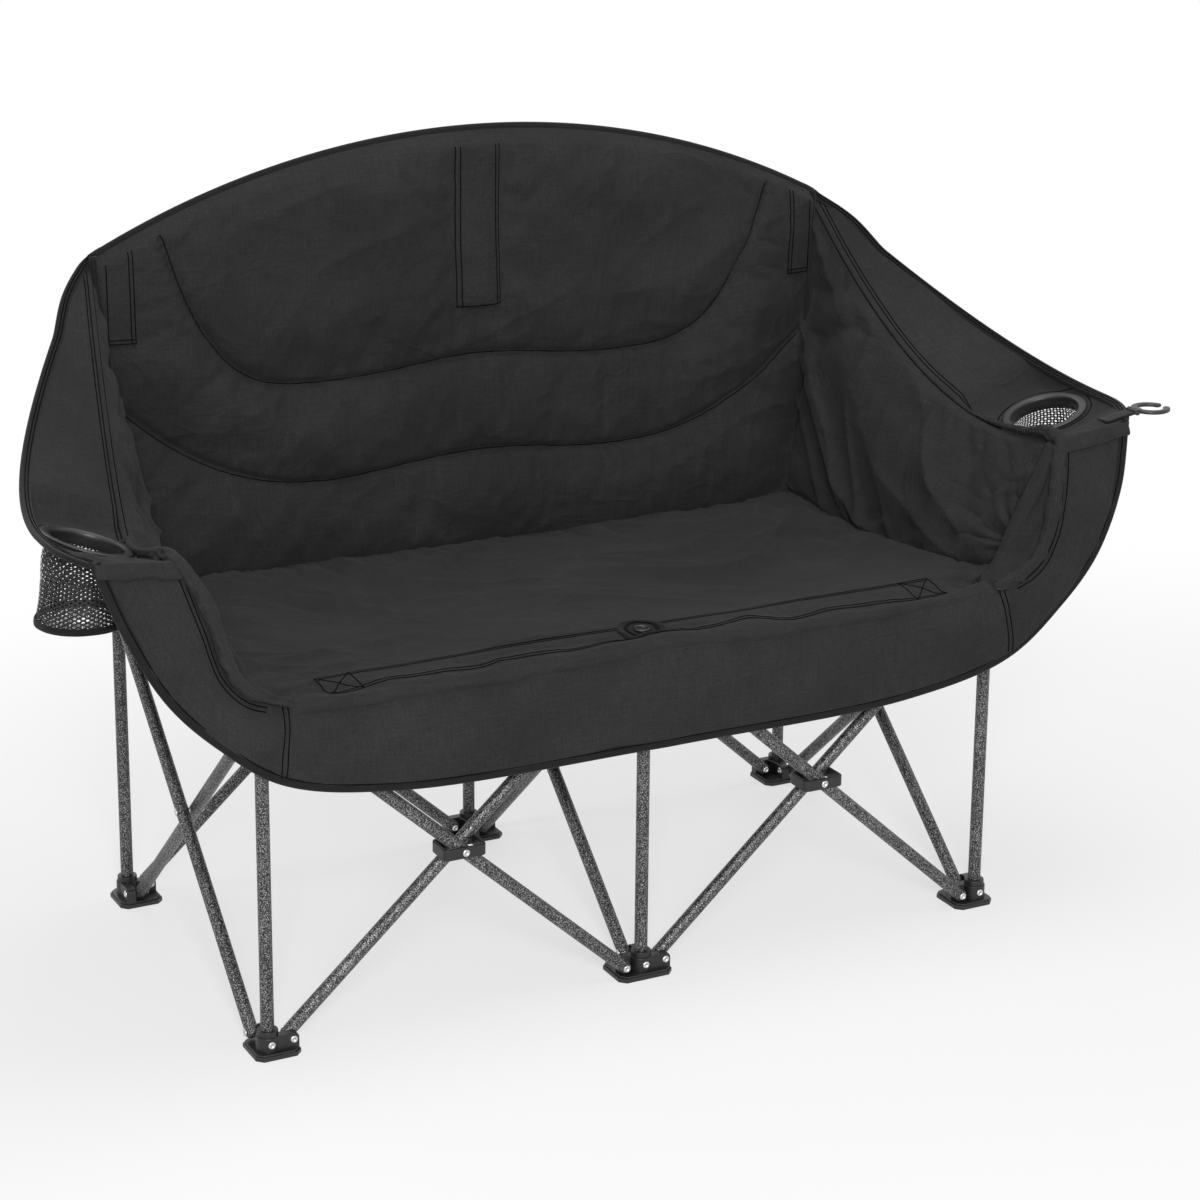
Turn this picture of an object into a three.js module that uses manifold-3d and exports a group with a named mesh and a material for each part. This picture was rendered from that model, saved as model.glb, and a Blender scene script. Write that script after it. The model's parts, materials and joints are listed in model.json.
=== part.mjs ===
// Folding camping loveseat: a scissor frame of steel tubes that carries a padded fabric tub.
// Millimetres, +Z up. The front faces -Y, and X runs from the sitter's right arm to the left one as seen from the front.
import * as THREE from 'three';
import { mergeVertices } from 'three/addons/utils/BufferGeometryUtils.js';
import Module from 'manifold-3d';

const wasm = await Module();
wasm.setup();

// Driving sizes of the frame
const bayWidth = 490;             // between neighbouring uprights across the front
const bayDepth = 490;             // between the front and the back uprights
const tubeRadius = 8;
const tubeWall = 1.2;
const rodRadius = 6.4;            // inner rods that telescope in the front uprights
const rodOverlap = 52;            // rod left in its upright when folded
const foldSwing = 44;             // degrees that a cross tube turns as the frame folds
const tubeSides = 10;
const pinSides = 6;
const ringSides = 20;
const footPivotHeight = 18;       // cross tube rivets above the floor
const hubPivotHeight = 406;
const rivetReach = 28;            // from an upright's axis to its foot and hub rivets
const fitGap = 0.5;               // running gap beside a tube
const seatGap = 0.3;              // gap where one piece rests on another
const cutOverrun = 2;
const tubeOverhang = 7;           // tube beyond its end rivets
const rivetRadius = 3;
const rivetHeadRadius = 5;
const rivetHeadHeight = 1.6;
const rivetHole = (rivetRadius + seatGap) / Math.cos(Math.PI / pinSides);   // flats clear the pin's corners
const crossOffset = tubeRadius + fitGap;   // each cross tube stands this far to its side of the uprights

// Driving sizes of the moulded joints
const jointThickness = 12;
const jointMargin = 7;            // plastic round a rivet
const footBossRadius = 12.5;
const footHeight = 32;
const footPlate = 6;
const footPlateHalf = 20;
const footChamfer = 5;
const footSocketFloor = 7;
const hubBossRadius = 13.5;
const hubAbove = 10;              // hub above its rivets
const hubBelow = 16;
const hubCap = 6;                 // closed top of a front hub
const bracketLength = 55;
const bracketHeight = 13;
const bracketWall = 3;
const bracketCorner = 6;

// Driving sizes of the back uprights and arms
const cornerPostRise = 418;       // heights named Rise are counted from the base of the tub, just over the hubs
const centrePostRise = 535;
const armPivotOut = 8;            // arm pivot outside the front upright's axis
const armPivotRise = 24;          // and above the hub rivets
const armPostTopOut = 95;         // arm post top outside the front upright's axis
const armPostTopRise = 178;
const clevisWall = 4;
const sleeveWall = 3.6;
const sleeveStart = 62;           // along the arm post from its pivot
const sleeveEnd = 191;

// Driving sizes of the back
const tubGap = 3;                 // base of the tub above the hubs
const backCrownRise = 554;        // top of the arch over the centre upright
const backCornerRise = 432;       // top of the back at its corners
const backOutTop = 21;            // the back's top corners outside the corner uprights' axes
const backInBottom = 3;           // its bottom corners inside them
const backPostGap = 1;            // between the back and the uprights behind it
const backDepth = 24;             // from the back's rear face to its padded front, before the crown
const backEdge = 7;               // thickness of the bound edge
const backPad = 13;               // how far the padding swells forward
const backChannel = 5;            // depth of a sewn channel
const pocketHalf = 14;
const pocketWall = 3;
const cornerPocketRise = 308;
const centrePocketRise = 323;
const upperQuilt = { rise: 262, dip: 15, dipAt: 190, endRise: 448, endAt: 430, powerShare: 4 };
const lowerQuilt = { rise: 132, dip: 15, dipAt: 215, endRise: 236, endAt: 490, powerShare: 2.2 };

// Driving sizes of the seat
const seatFront = -38.7;
const seatBackGap = 2.9;          // the back swells forward over it
const seatInBack = 3.4;           // the seat's rear corners inside the uprights' axes
const seatFlare = 52;             // how far the seat's sides flare out behind the arm posts
const seatFlarePower = 1.7;
const seatFlareY = 24;
const seatNotchY = 15;            // the seat is narrow again in front of this, beside the front hubs
const seatHubGap = 2;             // underside of the seat above the hubs
const seatThickness = 17;
const seatEdge = 9;
const seatSag = 24;
const seatSideRise = 6;           // rise of the sides' front end

// Driving sizes of the sides and arm tops
const sideFront = 12.5;
const sideThickness = 8;
const sideHeadThickness = 3;
const sidePad = 14;
const foldBackOut = 22.1;         // outside the uprights' axes, as the next Outs are
const foldBackRise = 427;
const foldLowOut = 106;
const foldLowRise = 173;
const foldLowY = 113;             // the fold is lowest here and rises again to the arm post
const foldFrontOut = 92;
const foldFrontRise = 193;
const foldGap = 0.8;              // side panel below the arm top
const armTopThickness = 5;
const armFront = -10;
const armWidestOut = 223;
const armWidestRise = 215;
const armBackOut = 29;
const armBackRise = 429;
const armWidestY = 80;
const armLevelY = 60;
const armCornerOut = 192;
const armCornerRise = 204;

// Driving sizes of the apron
const apronThickness = 4;
const apronRimRise = 18;
const apronHemDrop = 100;         // below the base of the tub
const apronRimY = -39;
const apronHemY = -54;
const apronEndGap = 0.4;          // between the ends of the apron and the arm tops

const apronBelly = 9;

// Driving sizes of the cup and glass holders
const cupOut = 158;
const cupY = 112;
const cupRingOuter = 55;
const cupRingInner = 43;
const cupRingThickness = 3;
const cupRingSkirt = 14;
const cupRingWall = 2.4;
const cupHoleReach = 28;          // how deep the hole for the ring is cut through the arm
const cupRise = 189;              // top of the arm at the cup's centre
const cupTiltX = 0.2;             // rise of the ring towards the outside
const cupTiltY = 0.1;             // rise of the ring towards the back
const cupFlatFront = 48;          // the arm top is flat round the cup between these two
const cupFlatBack = 176;
const cupFlatEase = 34;
const meshCupDepth = 84;
const meshCupFoot = 50;
const meshCupWall = 1.6;
const meshCupFloor = 2;
const meshCupRim = 4;
const glassRingRadius = 25;
const glassRingBore = 16;
const glassRingMouth = 12;
const glassRingThickness = 5;
const glassNeckWidth = 9;
const glassPinRadius = 2;
const glassPivotOut = 214;
const glassKnuckleRadius = 4;
const glassTabY = 2;
const glassTabShare = 0.66;       // where the tab starts, across the arm top
const glassTabWidth = 20;
const glassTabThickness = 3;
const glassTabRise = 3.2;         // middle of the tab above the arm top

// Driving sizes of the seat badge
const badgeWidth = 58;
const badgeDepth = 42;
const badgeY = 12;
const badgeThickness = 2.4;
const badgeButtonRadius = 9;
const badgeButtonHeight = 3;

// Derived sizes that several pieces share
const crossRise = hubPivotHeight - footPivotHeight;
const crossRunOf = (span) => span - rivetReach - rivetReach;
const crossLengthOf = (span) => Math.hypot(crossRunOf(span), crossRise);
const crossLeanOf = (span) => Math.atan2(crossRise, crossRunOf(span));
const crossingHeight = (footPivotHeight + hubPivotHeight) / 2;
const hubTop = hubPivotHeight + hubAbove;
const tubBase = hubTop + tubGap;
const cornerPostTop = tubBase + cornerPostRise;
const centrePostTop = tubBase + centrePostRise;
const armPostTopHeight = tubBase + armPostTopRise;
const armPivotHeight = hubPivotHeight + armPivotRise;
const armLean = Math.atan2(armPostTopOut - armPivotOut, armPostTopHeight - armPivotHeight);
const armPostLength = Math.hypot(armPostTopOut - armPivotOut, armPostTopHeight - armPivotHeight);

const backBottom = tubBase;
const backCrown = tubBase + backCrownRise;
const backCorner = tubBase + backCornerRise;
const cornerPocketFoot = tubBase + cornerPocketRise;
const centrePocketFoot = tubBase + centrePocketRise;
const seatUnderside = hubTop + seatHubGap;
const foldBackZ = tubBase + foldBackRise;
const foldLowZ = tubBase + foldLowRise;
const foldFrontZ = tubBase + foldFrontRise;
const armOuterZ = tubBase + armWidestRise;
const armOuterBackZ = tubBase + armBackRise;
const armCornerZ = tubBase + armCornerRise;
const apronCentreRim = tubBase + apronRimRise;
const apronCentreHem = tubBase - apronHemDrop;
const cupZ = tubBase + cupRise;
const backHalfTop = bayWidth + backOutTop;
const backHalfBottom = bayWidth - backInBottom;
const backRear = bayDepth - tubeRadius - backPostGap;
const backFront = backRear - backDepth;
const seatHalfFront = bayWidth - hubBossRadius - fitGap;
const seatHalfBack = bayWidth - seatInBack;
const foldBackX = bayWidth + foldBackOut;
const foldLowX = bayWidth + foldLowOut;
const foldFrontX = bayWidth + foldFrontOut;
const armOuterX = bayWidth + armWidestOut;
const armOuterBackX = bayWidth + armBackOut;
const armCornerX = bayWidth + armCornerOut;
const cupX = bayWidth + cupOut;
const glassPivotX = bayWidth + glassPivotOut;

// Finishes
const hammertone = new THREE.MeshStandardMaterial({ color: 0x3a3b3d, roughness: 0.38, metalness: 0.7 });
const blackPlastic = new THREE.MeshStandardMaterial({ color: 0x161617, roughness: 0.5, metalness: 0 });
const bareSteel = new THREE.MeshStandardMaterial({ color: 0x9a9c9f, roughness: 0.3, metalness: 1 });
const oxford = new THREE.MeshStandardMaterial({ color: 0x202124, roughness: 0.88, metalness: 0 });
const meshFabric = new THREE.MeshStandardMaterial({ color: 0x1b1b1c, roughness: 0.8, metalness: 0 });
const pick = (material) => material.clone();

// Solids from geometries and back
function solid(geometry) {
  const bare = geometry.clone();
  bare.deleteAttribute('normal');
  bare.deleteAttribute('uv');
  const merged = mergeVertices(bare, 1e-4);
  const places = Float32Array.from(merged.attributes.position.array);
  const turns = Uint32Array.from(merged.index.array);
  if (signedVolume(places, turns) < 0) {
    for (let i = 0; i < turns.length; i += 3) {
      [turns[i + 1], turns[i + 2]] = [turns[i + 2], turns[i + 1]];
    }
  }
  return new wasm.Manifold(new wasm.Mesh({ numProp: 3, vertProperties: places, triVerts: turns }));
}

function signedVolume(places, turns) {
  const a = new THREE.Vector3();
  const b = new THREE.Vector3();
  const c = new THREE.Vector3();
  let sum = 0;
  for (let i = 0; i < turns.length; i += 3) {
    a.fromArray(places, turns[i] * 3);
    b.fromArray(places, turns[i + 1] * 3);
    c.fromArray(places, turns[i + 2] * 3);
    sum += a.dot(b.cross(c));
  }
  return sum;
}

function geometryOf(body) {
  const mesh = body.getMesh();
  const geometry = new THREE.BufferGeometry();
  const places = new Float32Array((mesh.vertProperties.length / mesh.numProp) * 3);
  for (let i = 0; i < places.length / 3; i += 1) {
    for (let k = 0; k < 3; k += 1) places[i * 3 + k] = mesh.vertProperties[i * mesh.numProp + k];
  }
  geometry.setAttribute('position', new THREE.BufferAttribute(places, 3));
  geometry.setIndex(new THREE.BufferAttribute(Uint32Array.from(mesh.triVerts), 1));
  geometry.computeVertexNormals();
  return geometry;
}

const join = (bodies) => bodies.reduce((sum, body) => sum.add(body));
const cut = (body, tools) => tools.reduce((rest, tool) => rest.subtract(tool), body);
const moved = (geometry, x, y, z) => geometry.clone().translate(x, y, z);

// A box between two corners
function block(low, high) {
  const size = high.map((value, i) => value - low[i]);
  const box = new THREE.BoxGeometry(size[0], size[1], size[2]);
  return solid(moved(box, low[0] + size[0] / 2, low[1] + size[1] / 2, low[2] + size[2] / 2));
}

// A round bar from one point to another
function bar(from, to, radius, sides) {
  const way = new THREE.Vector3().subVectors(to, from);
  const shape = new THREE.CylinderGeometry(radius, radius, way.length(), sides);
  const turn = new THREE.Quaternion().setFromUnitVectors(new THREE.Vector3(0, 1, 0), way.clone().normalize());
  shape.applyQuaternion(turn);
  const middle = from.clone().add(to).multiplyScalar(0.5);
  return solid(moved(shape, middle.x, middle.y, middle.z));
}

const at = (x, y, z) => new THREE.Vector3(x, y, z);

function namedMesh(name, body, material) {
  const mesh = new THREE.Mesh(geometryOf(body), pick(material));
  mesh.name = name;
  return mesh;
}

// A closed solid between two skins, each a function of u across and v along, both from 0 to 1
function betweenSkins(outerSkin, innerSkin, columns, rows) {
  const places = [];
  const turns = [];
  const perSkin = (columns + 1) * (rows + 1);
  for (const skin of [outerSkin, innerSkin]) {
    for (let j = 0; j <= rows; j += 1) {
      for (let i = 0; i <= columns; i += 1) places.push(...skin(i / columns, j / rows).toArray());
    }
  }
  const spot = (i, j, skin) => skin * perSkin + j * (columns + 1) + i;
  const quad = (a, b, c, d) => turns.push(a, b, c, a, c, d);
  for (let j = 0; j < rows; j += 1) {
    for (let i = 0; i < columns; i += 1) {
      quad(spot(i, j, 0), spot(i + 1, j, 0), spot(i + 1, j + 1, 0), spot(i, j + 1, 0));
      quad(spot(i, j, 1), spot(i, j + 1, 1), spot(i + 1, j + 1, 1), spot(i + 1, j, 1));
    }
  }
  for (let i = 0; i < columns; i += 1) {
    quad(spot(i, 0, 1), spot(i + 1, 0, 1), spot(i + 1, 0, 0), spot(i, 0, 0));
    quad(spot(i, rows, 0), spot(i + 1, rows, 0), spot(i + 1, rows, 1), spot(i, rows, 1));
  }
  for (let j = 0; j < rows; j += 1) {
    quad(spot(0, j, 0), spot(0, j + 1, 0), spot(0, j + 1, 1), spot(0, j, 1));
    quad(spot(columns, j, 1), spot(columns, j + 1, 1), spot(columns, j + 1, 0), spot(columns, j, 0));
  }
  const geometry = new THREE.BufferGeometry();
  geometry.setAttribute('position', new THREE.Float32BufferAttribute(places, 3));
  geometry.setIndex(turns);
  return solid(geometry);
}

const mix = (a, b, share) => a + (b - a) * share;
const clamp = (value, low, high) => Math.min(high, Math.max(low, value));
const evenly = (from, to, count) => Array.from({ length: count }, (_, i) => mix(from, to, (i + 1) / count));

// The six stations where uprights stand: across -1, 0, 1 and 0 for the front, 1 for the back
const stations = [];
for (const [row, deep] of [['front', 0], ['back', 1]]) {
  for (const [side, across] of [['left', -1], ['centre', 0], ['right', 1]]) {
    stations.push({ name: `${row}_${side}`, across, deep, x: across * bayWidth, y: deep * bayDepth });
  }
}

// Arms of a foot or hub: each carries one rivet, towards a neighbouring station.
// turn is the angle of that neighbour about Z, and onward says whether it lies on along the pair or back.
function neighbours(station) {
  const found = [];
  if (station.across < 1) found.push({ turn: 0, onward: true });
  if (station.across > -1) found.push({ turn: 0, onward: false });
  found.push({ turn: Math.PI / 2, onward: station.deep === 0 });
  return found;
}

// One arm of a moulded joint with its rivet, for a pair that runs along +X
function jointArm(arm, reach, low, high, pivotZ, tubeSide) {
  const way = arm.onward ? 1 : -1;
  const far = way * (reach + jointMargin);
  const wallLow = tubeSide > 0 ? -jointThickness : 0;
  const body = block(
    [Math.min(0, far), wallLow, low],
    [Math.max(0, far), wallLow + jointThickness, high]);
  const inside = -tubeSide * jointThickness / 2;
  const past = tubeSide * (crossOffset + tubeRadius + fitGap);
  const rivet = bar(at(way * reach, inside, pivotZ), at(way * reach, past + tubeSide * cutOverrun, pivotZ),
    rivetRadius, pinSides);
  const head = bar(at(way * reach, past, pivotZ), at(way * reach, past + tubeSide * rivetHeadHeight, pivotZ),
    rivetHeadRadius, pinSides);
  const turned = join([body, rivet, head]);
  return turned.rotate([0, 0, THREE.MathUtils.radToDeg(arm.turn)]);
}

// Moulded foot with a socket for the upright and an arm for each cross tube
function foot(station) {
  const arms = neighbours(station).map((arm) => jointArm(arm, rivetReach, footPlate - cutOverrun,
    footPivotHeight + jointMargin, footPivotHeight, arm.onward ? 1 : -1));
  const boss = bar(at(0, 0, footPlate - cutOverrun), at(0, 0, footHeight), footBossRadius, tubeSides);
  const socket = bar(at(0, 0, footSocketFloor), at(0, 0, footHeight + cutOverrun), tubeRadius + seatGap, tubeSides);
  return cut(join([footBase(station), boss, ...arms]), [socket]);
}

// Chamfered base plate that reaches under every arm
function footBase(station) {
  const reach = rivetReach + jointMargin + cutOverrun;
  const left = station.across > -1 ? -reach : -footPlateHalf;
  const right = station.across < 1 ? reach : footPlateHalf;
  const front = station.deep === 1 ? -reach : -footPlateHalf;
  const back = station.deep === 0 ? reach : footPlateHalf;
  const outline = new THREE.Shape();
  outline.moveTo(left + footChamfer, front);
  outline.lineTo(right - footChamfer, front);
  outline.lineTo(right, front + footChamfer);
  outline.lineTo(right, back - footChamfer);
  outline.lineTo(right - footChamfer, back);
  outline.lineTo(left + footChamfer, back);
  outline.lineTo(left, back - footChamfer);
  outline.lineTo(left, front + footChamfer);
  outline.closePath();
  return solid(new THREE.ExtrudeGeometry(outline, { depth: footPlate, bevelEnabled: false }));
}

// Moulded hub that rides on its upright and holds the upper ends of the cross tubes
function hub(station) {
  const isFront = station.deep === 0;
  const arms = neighbours(station).map((arm) => jointArm(arm, rivetReach, hubPivotHeight - jointMargin,
    hubPivotHeight + jointMargin, hubPivotHeight, arm.onward ? -1 : 1));
  const low = hubPivotHeight - hubBelow;
  const boss = bar(at(0, 0, low), at(0, 0, hubTop), hubBossRadius, tubeSides);
  const parts = [boss, ...arms];
  const bore = isFront
    ? bar(at(0, 0, low - cutOverrun), at(0, 0, hubTop - hubCap), rodRadius + seatGap, tubeSides)
    : bar(at(0, 0, low - cutOverrun), at(0, 0, hubTop + cutOverrun), tubeRadius + fitGap, tubeSides);
  if (isFront && station.across !== 0) parts.push(armClevis(station.across));
  return cut(join(parts), [bore]);
}

// Two ears on a front corner hub, with the pin on which the arm post folds
function armClevis(side) {
  const half = tubeRadius + fitGap;
  const x = side * armPivotOut;
  const z = armPivotHeight;
  const reach = tubeRadius + cutOverrun;
  const ears = [-1, 1].map((face) => {
    const near = face * half;
    const far = face * (half + clevisWall);
    return block([x - reach, Math.min(near, far), hubTop - hubCap], [x + reach, Math.max(near, far), z + reach]);
  });
  const pin = bar(at(x, -half - clevisWall / 2, z), at(x, half + clevisWall / 2, z), rivetRadius, pinSides);
  return join([...ears, pin]);
}

// Upright tube from its foot socket, open at both ends
function upright(length) {
  const outline = [
    new THREE.Vector2(tubeRadius - tubeWall, 0),
    new THREE.Vector2(tubeRadius, 0),
    new THREE.Vector2(tubeRadius, length),
    new THREE.Vector2(tubeRadius - tubeWall, length),
    new THREE.Vector2(tubeRadius - tubeWall, 0)];
  return solid(new THREE.LatheGeometry(outline, tubeSides).rotateX(Math.PI / 2));
}

// Cross tube along +X from its lower end rivet, drilled for its three rivets along Y
function crossTube(crossLength) {
  const outline = [
    new THREE.Vector2(tubeRadius - tubeWall, -tubeOverhang),
    new THREE.Vector2(tubeRadius, -tubeOverhang),
    new THREE.Vector2(tubeRadius, crossLength + tubeOverhang),
    new THREE.Vector2(tubeRadius - tubeWall, crossLength + tubeOverhang),
    new THREE.Vector2(tubeRadius - tubeWall, -tubeOverhang)];
  const body = solid(new THREE.LatheGeometry(outline, tubeSides).rotateZ(-Math.PI / 2));
  const reach = tubeRadius + cutOverrun;
  const holes = [0, crossLength / 2, crossLength].map((x) =>
    bar(at(x, -reach, 0), at(x, reach, 0), rivetHole, pinSides));
  return cut(body, holes);
}

// Rivet through both tubes of a pair, with a head at each end
function crossingRivet(half) {
  const shank = bar(at(0, -half, 0), at(0, half, 0), rivetRadius, pinSides);
  const heads = [-1, 1].map((side) => bar(at(0, side * (half - seatGap), 0),
    at(0, side * (half + rivetHeadHeight), 0), rivetHeadRadius, pinSides));
  return join([shank, ...heads]);
}

// Moulded loop round a crossing: its long walls carry the rivet that joins the two tubes
function crossingBracket() {
  const halfWide = crossOffset + tubeRadius + fitGap;
  const outer = new THREE.Shape();
  roundedBox(outer, bracketLength / 2, halfWide + bracketWall, bracketCorner);
  const inner = new THREE.Path();
  roundedBox(inner, bracketLength / 2 - bracketWall, halfWide, bracketCorner - bracketWall);
  outer.holes.push(inner);
  const loop = solid(new THREE.ExtrudeGeometry(outer, { depth: bracketHeight, bevelEnabled: false, curveSegments: 2 })
    .translate(0, 0, -bracketHeight / 2));
  return join([loop, crossingRivet(halfWide + bracketWall)]);
}

function roundedBox(path, halfX, halfY, radius) {
  path.moveTo(halfX - radius, -halfY);
  path.absarc(halfX - radius, -halfY + radius, radius, -Math.PI / 2, 0, false);
  path.absarc(halfX - radius, halfY - radius, radius, 0, Math.PI / 2, false);
  path.absarc(-halfX + radius, halfY - radius, radius, Math.PI / 2, Math.PI, false);
  path.absarc(-halfX + radius, -halfY + radius, radius, Math.PI, Math.PI * 3 / 2, false);
  path.closePath();
}

// Frame
const frame = new THREE.Group();
const frontPostTop = hubPivotHeight - hubBelow - cutOverrun;
const openLean = crossLeanOf(bayWidth);
const foldedLean = openLean + THREE.MathUtils.degToRad(foldSwing);
const hubLift = crossLengthOf(bayWidth) * (Math.sin(foldedLean) - Math.sin(openLean));

for (const station of stations) {
  const group = new THREE.Group();
  group.position.set(station.x, station.y, 0);
  const foot0 = footSocketFloor + seatGap;
  const backTop = station.across === 0 ? centrePostTop : cornerPostTop;
  const top = station.deep === 0 ? frontPostTop : backTop;
  const post = upright(top - foot0);
  const postMesh = namedMesh(`${station.name}_upright`, post, hammertone);
  postMesh.position.z = foot0;
  group.add(namedMesh(`${station.name}_foot`, foot(station), blackPlastic));
  group.add(postMesh);
  group.add(namedMesh(`${station.name}_hub`, hub(station), blackPlastic));
  if (station.deep === 0) {
    const rodTop = hubTop - hubCap - seatGap;
    const rod = bar(at(0, 0, frontPostTop - hubLift - rodOverlap), at(0, 0, rodTop), rodRadius, tubeSides);
    group.add(namedMesh(`${station.name}_inner_rod`, rod, bareSteel));
  }
  frame.add(group);
}

// Crossed pairs of tubes: each is drawn along +X and turned for those that run front to back.
// The pairs at the two sides are joined by a bare rivet, the others have a moulded loop round their crossing.
const pairs = [
  { name: 'front_left', x: -bayWidth, y: 0, turn: 0, span: bayWidth },
  { name: 'front_right', x: 0, y: 0, turn: 0, span: bayWidth },
  { name: 'back_left', x: -bayWidth, y: bayDepth, turn: 0, span: bayWidth },
  { name: 'back_right', x: 0, y: bayDepth, turn: 0, span: bayWidth },
  { name: 'left_side', x: -bayWidth, y: 0, turn: Math.PI / 2, span: bayDepth, bare: true },
  { name: 'centre', x: 0, y: 0, turn: Math.PI / 2, span: bayDepth },
  { name: 'right_side', x: bayWidth, y: 0, turn: Math.PI / 2, span: bayDepth, bare: true }];

for (const pair of pairs) {
  const group = new THREE.Group();
  group.position.set(pair.x, pair.y, 0);
  group.rotation.z = pair.turn;
  const words = pair.turn === 0 ? ['right', 'left'] : ['back', 'front'];
  const lean = crossLeanOf(pair.span);
  const length = crossLengthOf(pair.span);
  const onward = namedMesh(`${pair.name}_cross_tube_to_${words[0]}`, crossTube(length), hammertone);
  onward.position.set(rivetReach, crossOffset, footPivotHeight);
  onward.rotation.y = -lean;
  const returning = namedMesh(`${pair.name}_cross_tube_to_${words[1]}`, crossTube(length), hammertone);
  returning.position.set(pair.span - rivetReach, -crossOffset, footPivotHeight);
  returning.rotation.y = Math.PI + lean;
  const crossing = pair.bare
    ? namedMesh(`${pair.name}_crossing_rivet`, crossingRivet(crossOffset + tubeRadius + fitGap + seatGap), bareSteel)
    : namedMesh(`${pair.name}_crossing_bracket`, crossingBracket(), blackPlastic);
  crossing.position.set(pair.span / 2, 0, crossingHeight);
  group.add(onward, returning, crossing);
  frame.add(group);
}

// Arm posts that lean out from the front corner hubs
for (const [sideName, side] of [['left', -1], ['right', 1]]) {
  const length = armPostLength + tubeOverhang;
  const post = cut(upright(length).translate([0, 0, -tubeOverhang]),
    [bar(at(0, -tubeRadius - cutOverrun, 0), at(0, tubeRadius + cutOverrun, 0), rivetHole, pinSides)]);
  const mesh = namedMesh(`${sideName}_arm_post`, post, hammertone);
  mesh.position.set(side * (bayWidth + armPivotOut), 0, armPivotHeight);
  mesh.rotation.y = side * armLean;
  frame.add(mesh);

  const sleeveOuter = tubeRadius + fitGap + sleeveWall;
  const outline = [
    new THREE.Vector2(tubeRadius + fitGap, sleeveStart),
    new THREE.Vector2(sleeveOuter, sleeveStart),
    new THREE.Vector2(sleeveOuter, sleeveEnd),
    new THREE.Vector2(tubeRadius + fitGap, sleeveEnd),
    new THREE.Vector2(tubeRadius + fitGap, sleeveStart)];
  const sleeve = solid(new THREE.LatheGeometry(outline, tubeSides).rotateX(Math.PI / 2));
  const sleeveMesh = namedMesh(`${sideName}_arm_sleeve`, sleeve, oxford);
  sleeveMesh.position.copy(mesh.position);
  sleeveMesh.rotation.copy(mesh.rotation);
  frame.add(sleeveMesh);
}

// Backrest: padded panel with two sewn channels, an arched top and three pockets for the back uprights
const archRadius = (backHalfTop ** 2 + (backCrown - backCorner) ** 2) / (2 * (backCrown - backCorner));
const archTop = (x) => backCrown - archRadius + Math.sqrt(archRadius ** 2 - x ** 2);

function quiltLine(line, x) {
  const far = Math.abs(x);
  const dip = line.dip * (1 - Math.cos(Math.PI * Math.min(far / line.dipAt, 1))) / 2;
  const climb = Math.max(0, (far - line.dipAt) / (line.endAt - line.dipAt));
  const rise = (line.endRise - line.rise + line.dip) * climb ** line.powerShare;
  return tubBase + line.rise - dip + rise;
}

function backrest() {
  const columns = 24;
  const bands = [4, 3, 4];
  const rows = bands.reduce((sum, count) => sum + count, 0);
  const place = (u, v) => {
    const row = Math.round(v * rows);
    const across = 2 * u - 1;
    const flat = across * backHalfTop;
    const top = archTop(flat);
    const least = backEdge;
    const upper = Math.min(quiltLine(upperQuilt, flat), top - least);
    const lower = Math.min(quiltLine(lowerQuilt, flat), upper - least);
    const levels = [backBottom, lower, upper, top];
    let band = 0;
    let start = 0;
    while (band < bands.length - 1 && row > start + bands[band]) {
      start += bands[band];
      band += 1;
    }
    const share = (row - start) / bands[band];
    const z = mix(levels[band], levels[band + 1], share);
    const half = mix(backHalfBottom, backHalfTop, (z - backBottom) / (backCorner - backBottom));
    const x = across * clamp(half, backHalfBottom, backHalfTop);
    const tall = clamp((levels[band + 1] - levels[band]) / (upperQuilt.rise - lowerQuilt.rise), 0, 1);
    const sideFade = 1 - Math.abs(across) ** 6;
    const swell = Math.sin(Math.PI * share) ** 0.7 * tall * sideFade;
    return { x, z, swell, onEdge: v === 1 };
  };
  const frontSkin = (u, v) => {
    const p = place(u, v);
    const base = p.onEdge ? backRear - backEdge : backFront + backChannel;
    return at(p.x, base - p.swell * backPad, p.z);
  };
  const rearSkin = (u, v) => {
    const p = place(u, v);
    return at(p.x, backRear, p.z);
  };
  const panel = betweenSkins(frontSkin, rearSkin, columns, rows);
  const pockets = [];
  const bores = [];
  for (const station of stations.filter((spot) => spot.deep === 1)) {
    const isCentre = station.across === 0;
    const postTop = isCentre ? centrePostTop : cornerPostTop;
    const foot0 = isCentre ? centrePocketFoot : cornerPocketFoot;
    const rear = bayDepth + tubeRadius + fitGap + pocketWall;
    pockets.push(block([station.x - pocketHalf, backRear - pocketWall, foot0],
      [station.x + pocketHalf, rear, postTop + fitGap + pocketWall]));
    bores.push(bar(at(station.x, bayDepth, foot0 - cutOverrun), at(station.x, bayDepth, postTop + fitGap),
      tubeRadius + fitGap, tubeSides));
  }
  return cut(join([panel, ...pockets]), bores);
}

// Seat: padded cushion that sags between the hubs, flares out behind the arm posts and thins to its sewn edges
const backFace = backFront + backChannel;
const seatRear = backFace - seatBackGap;

function seatHalf(y) {
  if (y < seatFlareY) return mix(seatHalfFront, seatHalf(seatFlareY), clamp((y - seatNotchY) / (seatFlareY - seatNotchY), 0, 1));
  return seatHalfBack + seatFlare * ((seatRear - y) / (seatRear - seatFlareY)) ** seatFlarePower;
}

function seatLow(x, y) {
  const across = Math.min(Math.abs(x) / seatHalf(y), 1);
  const bay = Math.abs(Math.sin(Math.PI * x / bayWidth));
  const deep = Math.sin(Math.PI * clamp((y - rivetReach) / (bayDepth - 2 * rivetReach), 0, 1));
  const flare = clamp((Math.abs(x) - seatHalfBack) / seatFlare, 0, 1);
  return seatUnderside - seatSag * deep * (0.6 + 0.4 * bay) * (1 - 0.6 * across ** 6) + seatSideRise * flare;
}

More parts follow.
